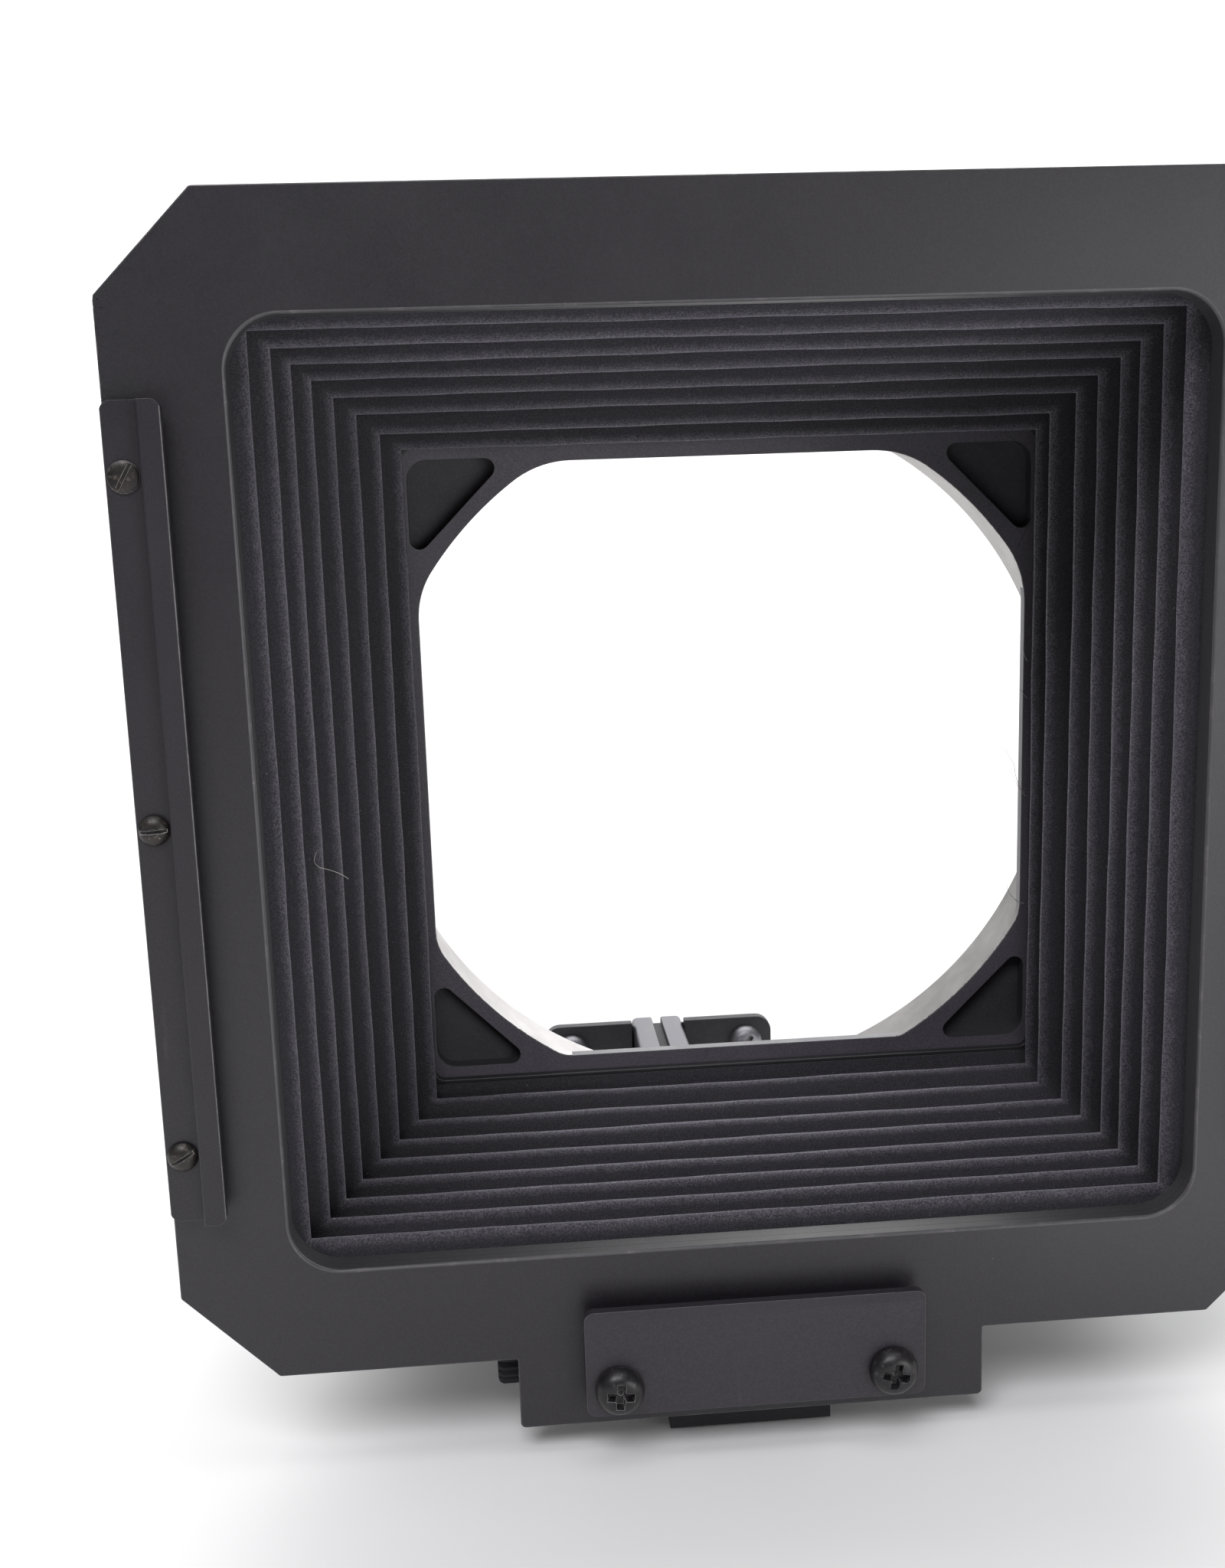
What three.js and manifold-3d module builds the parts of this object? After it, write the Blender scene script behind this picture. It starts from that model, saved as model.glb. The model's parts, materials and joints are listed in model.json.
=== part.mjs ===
// Bellows lens hood (compendium shade), in millimetres, +Z up.
// The hood's optical axis runs along Y; the open window faces -Y.
// Everything is laid out about the centre of the front window (front face of
// the plate at y = 0), and the whole group is then moved so that the origin is
// the bottom centre of the bounding box.
import * as THREE from "three";
import { mergeVertices } from "three/addons/utils/BufferGeometryUtils.js";
import Module from "manifold-3d";

const wasm = await Module();
wasm.setup();

// ---------------------------------------------------------------- dimensions
const GAP = 0.3;                 // clearance between neighbouring pieces

// front plate
const PLATE_H = 64.5;            // half of the square plate
const PLATE_T = 1.5;
const CHAMFER = 10.3;            // 45 degree corner chamfers
const WIN_H = 52.0;              // half of the square window
const WIN_R = 5.7;
const TAB_H = 27.2;              // half width of the lower tab
const TAB_Z = -73.2;             // lower edge of the tab

// window frame behind the plate, bellows clamp behind that
const WFR_Y = [PLATE_T + 0.2, 3.3];
const WFR_OUT = 57.5;
const FCL_Y = [4.5, 5.7];
const FCL_IN = 55.2;

// mask rails on the sides
const RAIL_Z = [-44.2, 44.0];
const RAIL_BASE = [60.7, 64.5];  // |x| of the foot that is screwed down
const RAIL_WEB = 59.6;           // |x| of the inner side of the web
const RAIL_LIP = 58.2;           // |x| of the edge of the raised lip
const RAIL_Y = [-3.0, -1.9, -1.35, -0.25];
const RSCREW_X = 62.6, RSCREW_Z = [36.4, -0.1, -36.6];
const RSCREW_HEAD_R = 1.65, RSCREW_R = 0.8;

// lower mask stop
const STOP_H = 19.6, STOP_Z = [-70.7, -57.6], STOP_Y = [-2.9, -0.25];
const SSCREW = { x: 15.8, z: -67.3, head_r: 2.8, r: 1.5 };

// rear frame, whose opening sits off the window's centre
const REAR_C = [7.85, -7.9];
const REAR_Y = 64.4, REAR_T = 1.7, REAR_H = 52.4;
const APER_H = 44.2;             // half of the square that clips the bore
const BORE_R = 51.2;
const BOSS_Y = 73.0;             // back faces of the corner bosses
const BOSS_GAP = 16.0, BOSS_GAP_LOW = 21.0; // half gaps between the bosses, the wider one below
const POCKET = { out: 44.9, leg: 14.4, depth: 2.5, r: [1.4, 2.8, 1.4] };
const RCL_Y = [62.9, 64.1], RCL_IN = [45.3, 46.4];

// monorail
const RL_H = 4.3, RL_Z = [-66.6, -61.0], RL_Y = [2.0, 105.4];
const GROOVE_H = 1.2, GROOVE_D = 0.9;
const BASE_Z = -76.3;            // what the hood stands on

// carriage of the front standard
const CAR = { x: 19.2, y: [1.8, 13.6], z: [-72.7, -59.2] };
const KEEPER = { x: 9.6, y: [2.6, 12.8], z: [BASE_Z, -73.0] };
const LOCK = { y: 8.6, z: -65.2, r: 6.3, x: [-29.6, -22.4] };

// bracket under the rear frame, through which the rail slides, and foot at the rail's end
const BRK = { x: 12.5, y: [66.4, 77.0], z: [-70.2, -57.6] };
const ENDP = { x: 19.8, y: [101.2, 103.0], z: [BASE_Z, -60.6], r: 2.6 };
const ENDB = { x: 18.6, y: [103.3, 109.0], z: [-72.0, -61.6] };
const ESCREW = { x: 15.3, z: -64.8 };

// bellows: inner folds (half widths, half heights) from front to back
const FOLD_Y0 = 6.5, FOLD_PITCH = 7.3;
const FOLD_IN = [[50.5, 51.0], [50.0, 50.8], [49.5, 50.5], [48.9, 50.2], [47.9, 49.6], [46.8, 48.9], [45.3, 47.8], [44.5, 46.8]];
const FOLD_OUT_FRONT = 57.2, FOLD_OUT_REAR = 51.4;
const CLOTH = 1.1;               // radial thickness of the cloth solid

// ------------------------------------------------------------------ helpers
const mats = {
  plate: new THREE.MeshStandardMaterial({ color: 0x262528, roughness: 0.55, metalness: 0.3 }),
  moulded: new THREE.MeshStandardMaterial({ color: 0x1c1b1e, roughness: 0.7, metalness: 0 }),
  cloth: new THREE.MeshStandardMaterial({ color: 0x1d1d23, roughness: 0.95, metalness: 0 }),
  blackScrew: new THREE.MeshStandardMaterial({ color: 0x19181a, roughness: 0.35, metalness: 0.7 }),
  wornScrew: new THREE.MeshStandardMaterial({ color: 0x4a4442, roughness: 0.4, metalness: 0.8 }),
  rail: new THREE.MeshStandardMaterial({ color: 0x8d8d95, roughness: 0.4, metalness: 0.8 }),
  brass: new THREE.MeshStandardMaterial({ color: 0xa8874a, roughness: 0.4, metalness: 0.9 }),
};

function solid(geo) {
  const g = geo.clone();
  g.deleteAttribute("normal");
  g.deleteAttribute("uv");
  const m = mergeVertices(g, 1e-5);
  const index = m.getIndex();
  return new wasm.Manifold(new wasm.Mesh({
    numProp: 3,
    vertProperties: new Float32Array(m.getAttribute("position").array),
    triVerts: new Uint32Array(index.array),
  }));
}

function geometry(man) {
  const mesh = man.getMesh();
  const np = mesh.numProp;
  const pos = new Float32Array((mesh.vertProperties.length / np) * 3);
  for (let i = 0, j = 0; i < mesh.vertProperties.length; i += np) {
    pos[j++] = mesh.vertProperties[i];
    pos[j++] = mesh.vertProperties[i + 1];
    pos[j++] = mesh.vertProperties[i + 2];
  }
  const g = new THREE.BufferGeometry();
  g.setAttribute("position", new THREE.BufferAttribute(pos, 3));
  g.setIndex(new THREE.BufferAttribute(new Uint32Array(mesh.triVerts), 1));
  return g;
}

const cut = (a, ...bs) => bs.reduce((m, b) => m.subtract(b), a);
const join = (a, ...bs) => bs.reduce((m, b) => m.add(b), a);

function box(x0, x1, y0, y1, z0, z1) {
  return solid(new THREE.BoxGeometry(x1 - x0, y1 - y0, z1 - z0)
    .translate((x0 + x1) / 2, (y0 + y1) / 2, (z0 + z1) / 2));
}

// outline in X and Z, swept from y0 to y1
function extrudeY(shape, y0, y1, segments = 6) {
  return solid(new THREE.ExtrudeGeometry(shape, { depth: y1 - y0, bevelEnabled: false, curveSegments: segments })
    .rotateX(Math.PI / 2).translate(0, y1, 0));
}

function cylY(x, z, r, y0, y1, n = 24, r2 = r) {
  // r at y0, r2 at y1
  return solid(new THREE.CylinderGeometry(r2, r, y1 - y0, n).translate(x, (y0 + y1) / 2, z));
}
function cylX(y, z, r, x0, x1, n = 24, r2 = r) {
  return solid(new THREE.CylinderGeometry(r2, r, x1 - x0, n).rotateZ(-Math.PI / 2).translate((x0 + x1) / 2, y, z));
}
function cylZ(x, y, r, z0, z1, n = 24, r2 = r) {
  return solid(new THREE.CylinderGeometry(r2, r, z1 - z0, n).rotateX(Math.PI / 2).translate(x, y, (z0 + z1) / 2));
}

function roundRect(x0, x1, z0, z1, r) {
  const s = new THREE.Shape();
  s.moveTo(x0 + r, z0);
  s.lineTo(x1 - r, z0); s.absarc(x1 - r, z0 + r, r, -Math.PI / 2, 0, false);
  s.lineTo(x1, z1 - r); s.absarc(x1 - r, z1 - r, r, 0, Math.PI / 2, false);
  s.lineTo(x0 + r, z1); s.absarc(x0 + r, z1 - r, r, Math.PI / 2, Math.PI, false);
  s.lineTo(x0, z0 + r); s.absarc(x0 + r, z0 + r, r, Math.PI, 1.5 * Math.PI, false);
  s.closePath();
  return s;
}

// polygon with each corner rounded to its own radius
function filleted(points, radii, n) {
  const out = [];
  points.forEach((p, i) => {
    const a = points[(i + points.length - 1) % points.length], b = points[(i + 1) % points.length], r = radii[i];
    const la = Math.hypot(a[0] - p[0], a[1] - p[1]), lb = Math.hypot(b[0] - p[0], b[1] - p[1]);
    const u = [(a[0] - p[0]) / la, (a[1] - p[1]) / la], v = [(b[0] - p[0]) / lb, (b[1] - p[1]) / lb];
    const half = Math.acos(u[0] * v[0] + u[1] * v[1]) / 2, d = r / Math.tan(half);
    const w = [u[0] + v[0], u[1] + v[1]], lw = Math.hypot(...w), h = r / Math.sin(half);
    const c = [p[0] + (w[0] / lw) * h, p[1] + (w[1] / lw) * h];
    let a0 = Math.atan2(p[1] + u[1] * d - c[1], p[0] + u[0] * d - c[0]);
    let a1 = Math.atan2(p[1] + v[1] * d - c[1], p[0] + v[0] * d - c[0]);
    if (a1 - a0 > Math.PI) a1 -= 2 * Math.PI;
    if (a1 - a0 < -Math.PI) a1 += 2 * Math.PI;
    for (let k = 0; k <= n; k++) out.push([c[0] + r * Math.cos(a0 + ((a1 - a0) * k) / n), c[1] + r * Math.sin(a0 + ((a1 - a0) * k) / n)]);
  });
  return out;
}
function polygon(points) {
  const s = new THREE.Shape();
  points.forEach(([x, y], i) => (i ? s.lineTo(x, y) : s.moveTo(x, y)));
  s.closePath();
  return s;
}

// turned body of revolution about the Y direction: profile of [radius, y]
function turnedY(x, z, profile, n = 24) {
  const pts = profile.map(([r, y]) => new THREE.Vector2(r, y));
  return solid(new THREE.LatheGeometry(pts, n).translate(x, 0, z));
}

// knurled disc: outline with shallow teeth, in a plane normal to the axis
function knurl(r, teeth, depth) {
  const s = new THREE.Shape();
  for (let i = 0; i < teeth * 2; i++) {
    const a = (i / (teeth * 2)) * Math.PI * 2;
    const q = i % 2 ? r : r - depth;
    if (i === 0) s.moveTo(q * Math.cos(a), q * Math.sin(a));
    else s.lineTo(q * Math.cos(a), q * Math.sin(a));
  }
  s.closePath();
  return s;
}

const hood = new THREE.Group();
const front = new THREE.Group();
const rear = new THREE.Group();
hood.add(front, rear);

function add(group, name, man, material) {
  const mesh = new THREE.Mesh(geometry(man), material);
  mesh.name = name;
  group.add(mesh);
}

// --------------------------------------------------------------- front plate
{
  const s = new THREE.Shape();
  s.moveTo(-PLATE_H, PLATE_H - CHAMFER);
  s.lineTo(-PLATE_H, -PLATE_H + CHAMFER);
  s.lineTo(-PLATE_H + CHAMFER, -PLATE_H);
  s.lineTo(-TAB_H, -PLATE_H);
  s.lineTo(-TAB_H, TAB_Z + 1);
  s.lineTo(-TAB_H + 1, TAB_Z);
  s.lineTo(TAB_H - 1, TAB_Z);
  s.lineTo(TAB_H, TAB_Z + 1);
  s.lineTo(TAB_H, -PLATE_H);
  s.lineTo(PLATE_H - CHAMFER, -PLATE_H);
  s.lineTo(PLATE_H, -PLATE_H + CHAMFER);
  s.lineTo(PLATE_H, PLATE_H - CHAMFER);
  s.lineTo(PLATE_H - CHAMFER, PLATE_H);
  s.lineTo(-PLATE_H + CHAMFER, PLATE_H);
  s.closePath();
  let m = extrudeY(s, 0, PLATE_T);
  m = cut(m, extrudeY(roundRect(-WIN_H, WIN_H, -WIN_H, WIN_H, WIN_R), -1, PLATE_T + 1));
  for (const sx of [-1, 1]) {
    for (const z of RSCREW_Z) m = cut(m, cylY(sx * RSCREW_X, z, RSCREW_R + 0.3, -1, PLATE_T + 1, 12));
    m = cut(m, cylY(sx * SSCREW.x, SSCREW.z, SSCREW.r + 0.3, -1, PLATE_T + 1, 16));
  }
  add(front, "front_plate", m, mats.plate);
}

// window frame: deepens the window's edge and carries the bellows
add(front, "window_frame", cut(
  extrudeY(roundRect(-WFR_OUT, WFR_OUT, -WFR_OUT, WFR_OUT, WIN_R + 3), WFR_Y[0], WFR_Y[1]),
  extrudeY(roundRect(-WIN_H, WIN_H, -WIN_H, WIN_H, WIN_R), -1, 9)), mats.plate);
add(front, "bellows_front_clamp", cut(
  extrudeY(roundRect(-WFR_OUT, WFR_OUT, -WFR_OUT, WFR_OUT, 1.5), FCL_Y[0], FCL_Y[1]),
  extrudeY(roundRect(-FCL_IN, FCL_IN, -FCL_IN, FCL_IN, 0.4), 0, 9)), mats.moulded);

// ----------------------------------------------------------- side mask rails
for (const [name, sx] of [["left", -1], ["right", 1]]) {
  const pts = [[RAIL_BASE[1], RAIL_Y[3]], [RAIL_WEB, RAIL_Y[3]], [RAIL_WEB, RAIL_Y[1]], [RAIL_LIP, RAIL_Y[1]],
    [RAIL_LIP, RAIL_Y[0]], [RAIL_BASE[0], RAIL_Y[0]], [RAIL_BASE[0], RAIL_Y[2]], [RAIL_BASE[1], RAIL_Y[2]]];
  const s = new THREE.Shape();
  pts.forEach(([x, y], i) => (i ? s.lineTo(sx * x, y) : s.moveTo(sx * x, y)));
  s.closePath();
  let m = solid(new THREE.ExtrudeGeometry(s, { depth: RAIL_Z[1] - RAIL_Z[0], bevelEnabled: false }).translate(0, 0, RAIL_Z[0]));
  for (const z of RSCREW_Z) m = cut(m, cylY(sx * RSCREW_X, z, RSCREW_R + 0.3, -2, 1, 12));
  add(front, `mask_rail_${name}`, m, mats.plate);
  RSCREW_Z.forEach((z, i) => {
    // round slotted head over a threaded shank
    const y = RAIL_Y[2] - 0.2;
    let screw = turnedY(sx * RSCREW_X, z, [[0, y - 0.95], [0.75, y - 0.88], [1.3, y - 0.62], [RSCREW_HEAD_R, y - 0.2],
      [RSCREW_HEAD_R, y], [RSCREW_R, y], [RSCREW_R, PLATE_T], [0, PLATE_T]], 20);
    screw = cut(screw, solid(new THREE.BoxGeometry(4, 1, 0.42).rotateY([1.05, 0.05, -0.5][i]).translate(sx * RSCREW_X, y - 1.0, z)));
    add(front, `rail_screw_${name}_${i + 1}`, screw, mats.wornScrew);
  });
}

// ------------------------------------------------------------ lower mask stop
{
  let m = extrudeY(roundRect(-STOP_H, STOP_H, STOP_Z[0], STOP_Z[1], 1.2), STOP_Y[0], STOP_Y[1], 3);
  m = cut(m, box(-STOP_H - 1, STOP_H + 1, STOP_Y[0] + 1.1, 1, STOP_Z[1] - 3.2, STOP_Z[1] + 1)); // slot for the mask's lower edge
  for (const sx of [-1, 1]) m = cut(m, cylY(sx * SSCREW.x, SSCREW.z, SSCREW.r + 0.3, -5, 1, 16));
  add(front, "mask_stop", m, mats.plate);
}
function panScrew(x, z, yFace, len, dir) {
  // pan head with a cross recess; dir = +1 when the shank points to +Y
  const f = (t) => yFace + dir * t;
  let prof = [[0, f(-1.9)], [1.2, f(-1.85)], [2.1, f(-1.5)], [2.65, f(-0.9)], [SSCREW.head_r, f(-0.4)], [SSCREW.head_r, f(0)],
    [SSCREW.r, f(0)], [SSCREW.r, f(len)], [0, f(len)]];
  if (dir < 0) prof = prof.reverse();
  let m = turnedY(x, z, prof, 28);
  const bx = (w, h) => solid(new THREE.BoxGeometry(w, 2.4, h).translate(x, f(-1.9), z));
  return cut(m, bx(2.7, 0.62), bx(0.62, 2.7));
}
for (const [name, sx] of [["left", -1], ["right", 1]])
  add(front, `mask_stop_screw_${name}`, panScrew(sx * SSCREW.x, SSCREW.z, STOP_Y[0] - 0.2, 9.4, 1), mats.blackScrew);

// ---------------------------------------------------------- front carriage
{
  let m = box(-CAR.x, CAR.x, CAR.y[0], CAR.y[1], CAR.z[0], CAR.z[1]);
  // rail channel, open downwards so that the keeper closes it
  m = cut(m, box(-RL_H - GAP, RL_H + GAP, 0, 20, CAR.z[0] - 1, RL_Z[1] + GAP));
  for (const sx of [-1, 1]) {
    m = cut(m, cylY(sx * SSCREW.x, SSCREW.z, SSCREW.r + 0.3, 0, 6.7, 16));
    m = cut(m, cylZ(sx * 7.2, 7.7, 1.1 + 0.3, CAR.z[0] - 1, CAR.z[0] + 5.2, 16));
  }
  // threaded hole for the lock screw and its shoe
  m = cut(m, cylX(LOCK.y, LOCK.z, 1.5 + 0.3, -CAR.x - 1, -7.2, 16), box(-7.4, -RL_H, LOCK.y - 2.8, LOCK.y + 2.8, LOCK.z - 2.1, LOCK.z + 2.1));
  add(front, "front_carriage", m, mats.moulded);
}
{
  // keeper plate closing the channel, with a rib that carries the rail
  let m = join(box(-KEEPER.x, KEEPER.x, KEEPER.y[0], KEEPER.y[1], KEEPER.z[0], KEEPER.z[1]),
    box(-RL_H, RL_H, KEEPER.y[0], KEEPER.y[1], KEEPER.z[1] - 1, RL_Z[0] - GAP));
  for (const sx of [-1, 1]) m = cut(m, cylZ(sx * 7.2, 7.7, 1.4, KEEPER.z[0] - 1, KEEPER.z[1] + 1, 16), cylZ(sx * 7.2, 7.7, 2.3, KEEPER.z[0] - 1, KEEPER.z[0] + 1.6, 20));
  add(front, "rail_keeper", m, mats.plate);
}
for (const [name, sx] of [["left", -1], ["right", 1]]) {
  const x = sx * 7.2, z0 = KEEPER.z[0] + 0.2;
  let m = join(cylZ(x, 7.7, 2.0, z0, z0 + 1.1, 20), cylZ(x, 7.7, 1.1, z0 + 0.5, CAR.z[0] + 4.8, 16));
  m = cut(m, solid(new THREE.BoxGeometry(5, 0.5, 1.0).translate(x, 7.7, z0)));
  add(front, `keeper_screw_${name}`, m, mats.blackScrew);
}
add(front, "clamp_shoe", box(-7.0, -RL_H - 0.2, LOCK.y - 2.5, LOCK.y + 2.5, LOCK.z - 1.8, LOCK.z + 1.8), mats.brass);

// lock knob on the left of the carriage, axis along X
{
  const k = new THREE.ExtrudeGeometry(knurl(LOCK.r, 30, 0.45), { depth: 5.2, bevelEnabled: false });
  // extruded along +Z, turned to lie along X
  k.rotateY(Math.PI / 2).translate(LOCK.x[0], LOCK.y, LOCK.z);
  let m = solid(k);
  m = join(m, cylX(LOCK.y, LOCK.z, 4.2, LOCK.x[0] + 5.0, LOCK.x[1] + 0.3, 24));
  m = cut(m, cylX(LOCK.y, LOCK.z, 3.6, LOCK.x[0] - 1, LOCK.x[0] + 0.7, 24));
  m = cut(m, cylX(LOCK.y, LOCK.z, 1.8, LOCK.x[0] + 2.2, LOCK.x[1] + 2, 16));
  add(front, "lock_knob", m, mats.plate);
  add(front, "lock_screw", cylX(LOCK.y, LOCK.z, 1.5, LOCK.x[0] + 2.5, -7.4, 16), mats.rail);
}

// ------------------------------------------------------------------- bellows
{
  const y1 = RCL_Y[0] - 0.4;
  const prof = [];                                // [y, inner half width, inner half height]
  prof.push([3.6, 53.6, 53.6], [4.2, 53.6, 53.6]);
  FOLD_IN.forEach(([w, h], i) => {
    const y = FOLD_Y0 + FOLD_PITCH * i;
    prof.push([y, w, h]);
    const t = (y + FOLD_PITCH / 2) / REAR_Y;
    const out = FOLD_OUT_FRONT + (FOLD_OUT_REAR - FOLD_OUT_FRONT) * t - CLOTH;
    const yo = i < FOLD_IN.length - 1 ? y + FOLD_PITCH / 2 : y + 2.6;
    prof.push([yo, out, out]);
  });
  prof.push([y1 - 0.3, 45.8, 46.9], [y1, 45.8, 46.9]);
  // the cloth's outer side, one thickness further out, walked back to the front
  const loop = [...prof];
  [...prof].reverse().forEach(([y, w, h], i, a) => {
    const flange = i < 2 ? 3.4 : i >= a.length - 2 ? 3.0 : CLOTH;
    if (i === a.length - 2) loop.push([y + 0.1, w + 0.4, h + 0.4]);
    loop.push([y, w + flange, h + flange]);
  });
  const centre = (y) => [REAR_C[0] * (y / REAR_Y), REAR_C[1] * (y / REAR_Y)];
  const pos = [], idx = [];
  for (const [y, w, h] of loop) {
    const [cx, cz] = centre(y);
    pos.push(cx - w, y, cz - h, cx + w, y, cz - h, cx + w, y, cz + h, cx - w, y, cz + h);
  }
  const n = loop.length;
  for (let i = 0; i < n; i++) {
    const j = (i + 1) % n;
    for (let k = 0; k < 4; k++) {
      const l = (k + 1) % 4;
      const a = i * 4 + k, b = i * 4 + l, c = j * 4 + l, d = j * 4 + k;
      idx.push(a, b, c, a, c, d);
    }
  }
  const g = new THREE.BufferGeometry();
  g.setAttribute("position", new THREE.BufferAttribute(new Float32Array(pos), 3));
  g.setIndex(idx);
  const mesh = new THREE.Mesh(g, mats.cloth);
  mesh.name = "bellows";
  rear.add(mesh);
}

// --------------------------------------------------------------- rear frame
{
  const [cx, cz] = REAR_C;
  let m = extrudeY(roundRect(cx - REAR_H, cx + REAR_H, cz - REAR_H, cz + REAR_H, 3), REAR_Y, REAR_Y + REAR_T, 4);
  // corner bosses behind the plate: square corner minus the bore
  let bosses = extrudeY(roundRect(cx - REAR_H + 2.2, cx + REAR_H - 2.2, cz - REAR_H + 2.2, cz + REAR_H - 2.2, 3), REAR_Y + REAR_T - 0.5, BOSS_Y, 4);
  bosses = cut(bosses,
    box(cx - BOSS_GAP, cx + BOSS_GAP, REAR_Y + REAR_T, BOSS_Y + 1, cz, cz + 60),
    box(cx - BOSS_GAP_LOW, cx + BOSS_GAP_LOW, REAR_Y + REAR_T, BOSS_Y + 1, cz - 60, cz),
    box(cx - 60, cx + 60, REAR_Y + REAR_T, BOSS_Y + 1, cz - BOSS_GAP, cz + BOSS_GAP));
  m = join(m, bosses);
  // bore clipped by a square
  const bore = cylY(cx, cz, BORE_R, 50, 90, 96).intersect(box(cx - APER_H, cx + APER_H, 50, 90, cz - APER_H, cz + APER_H));
  m = cut(m, bore);
  // the bosses themselves are bored to the full circle
  m = cut(m, cylY(cx, cz, BORE_R, REAR_Y + REAR_T + 0.001, 90, 96));
  // triangular corner pockets in the front face
  const o = POCKET.out, l = POCKET.out - POCKET.leg;
  for (const sx of [-1, 1]) for (const sz of [-1, 1]) {
    let pts = filleted([[o, l], [o, o], [l, o]], POCKET.r, 5).map(([u, v]) => [cx + sx * u, cz + sz * v]);
    if (sx * sz < 0) pts = pts.reverse();
    m = cut(m, extrudeY(polygon(pts), REAR_Y - 1, REAR_Y + POCKET.depth));
  }
  // holes for the bracket screws
  for (const sx of [-1, 1]) m = cut(m, cylY(sx * 8.6, -58.6 + 1.6, 1.25 + 0.3, 60, 70, 12));
  add(rear, "rear_frame", m, mats.moulded);
  // ring that holds the cloth to the frame
  add(rear, "bellows_rear_clamp", cut(
    extrudeY(roundRect(cx - REAR_H + 0.4, cx + REAR_H - 0.4, cz - REAR_H + 0.4, cz + REAR_H - 0.4, 3), RCL_Y[0], RCL_Y[1], 4),
    extrudeY(roundRect(cx - RCL_IN[0], cx + RCL_IN[0], cz - RCL_IN[1], cz + RCL_IN[1], 1.5), 50, 80, 3),
    cylY(-8.6, -57.0, 2.6, 50, 80, 16), cylY(8.6, -57.0, 2.6, 50, 80, 16)), mats.moulded);
}

// bracket of the rear frame, through which the rail slides
{
  let m = box(-BRK.x, BRK.x, BRK.y[0], BRK.y[1], BRK.z[0], RL_Z[1] + 1.8);
  m = join(m, box(-BRK.x, BRK.x, BRK.y[0], BRK.y[0] + 2.6, RL_Z[1] + 1, -54.4));
  m = cut(m, box(-RL_H - GAP, RL_H + GAP, 60, 80, RL_Z[0] - GAP, RL_Z[1] + GAP));
  for (const sx of [-1, 1]) m = cut(m, cylY(sx * 8.6, -57.0, 1.25 + 0.3, 60, 80, 12));
  m = cut(m, cylZ(0, 72.2, 1.4 + 0.3, BRK.z[0] - 1, RL_Z[0], 16),
    box(-3.7, 3.7, 69.3, 75.1, RL_Z[0] - 1.4, RL_Z[0]));
  add(rear, "rear_bracket", m, mats.moulded);
}
for (const [name, sx] of [["left", -1], ["right", 1]]) {
  // screws through the frame into the bracket, heads inside the clamp ring's notches
  const y = REAR_Y - 0.15;
  let m = join(cylY(sx * 8.6, -57.0, 2.2, y - 1.1, y, 20), cylY(sx * 8.6, -57.0, 1.25, y - 0.3, BRK.y[0] + 2.4, 12));
  m = cut(m, solid(new THREE.BoxGeometry(5, 0.9, 0.5).translate(sx * 8.6, y - 1.1, -57.0)));
  add(rear, `bracket_screw_${name}`, m, mats.blackScrew);
}
// pad and thumb screw that lock the rail in the bracket
add(rear, "bracket_shoe", box(-3.4, 3.4, 69.6, 74.8, RL_Z[0] - 0.2 - 0.9, RL_Z[0] - 0.2), mats.brass);
{
  const k = new THREE.ExtrudeGeometry(knurl(3.9, 20, 0.35), { depth: 2.6, bevelEnabled: false }).translate(0, 72.2, BRK.z[0] - 4.4);
  add(rear, "slide_lock_screw", join(solid(k), cylZ(0, 72.2, 2.3, BRK.z[0] - 2.0, BRK.z[0] - 0.4, 20),
    cylZ(0, 72.2, 1.4, BRK.z[0] - 3, RL_Z[0] - 1.4, 14)), mats.plate);
}

// ---------------------------------------------------------------- monorail
add(front, "rail", cut(box(-RL_H, RL_H, RL_Y[0], RL_Y[1], RL_Z[0], RL_Z[1]),
  box(-GROOVE_H, GROOVE_H, RL_Y[0] - 1, RL_Y[1] + 1, RL_Z[1] - GROOVE_D, RL_Z[1] + 1)), mats.rail);

// foot plate at the rail's rear end, and the block behind it
{
  let m = extrudeY(roundRect(-ENDP.x, ENDP.x, ENDP.z[0], ENDP.z[1], ENDP.r), ENDP.y[0], ENDP.y[1], 5);
  m = cut(m, box(-RL_H - GAP, RL_H + GAP, 90, 120, RL_Z[0] - GAP, 0));
  for (const sx of [-1, 1]) m = cut(m, cylY(sx * ESCREW.x, ESCREW.z, SSCREW.r + 0.3, 90, 120, 16));
  add(front, "rail_foot_plate", m, mats.plate);
  let b = box(-ENDB.x, ENDB.x, ENDB.y[0], ENDB.y[1], ENDB.z[0], ENDB.z[1]);
  b = cut(b, box(-RL_H - GAP, RL_H + GAP, 90, RL_Y[1] + GAP, RL_Z[0] - GAP, 0));
  for (const sx of [-1, 1]) b = cut(b, cylY(sx * ESCREW.x, ESCREW.z, SSCREW.r + 0.3, 90, ENDB.y[1] - 2.4, 16));
  // its upper side slopes down towards the back
  b = cut(b, solid(new THREE.BoxGeometry(60, 14, 6).rotateX(-0.337).translate(0, 107.14, -59.67)));
  add(front, "rail_end_block", b, mats.moulded);
}
for (const [name, sx] of [["left", -1], ["right", 1]])
  add(front, `foot_screw_${name}`, panScrew(sx * ESCREW.x, ESCREW.z, ENDP.y[0] - 0.2, 5.0, 1), mats.rail);

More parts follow.
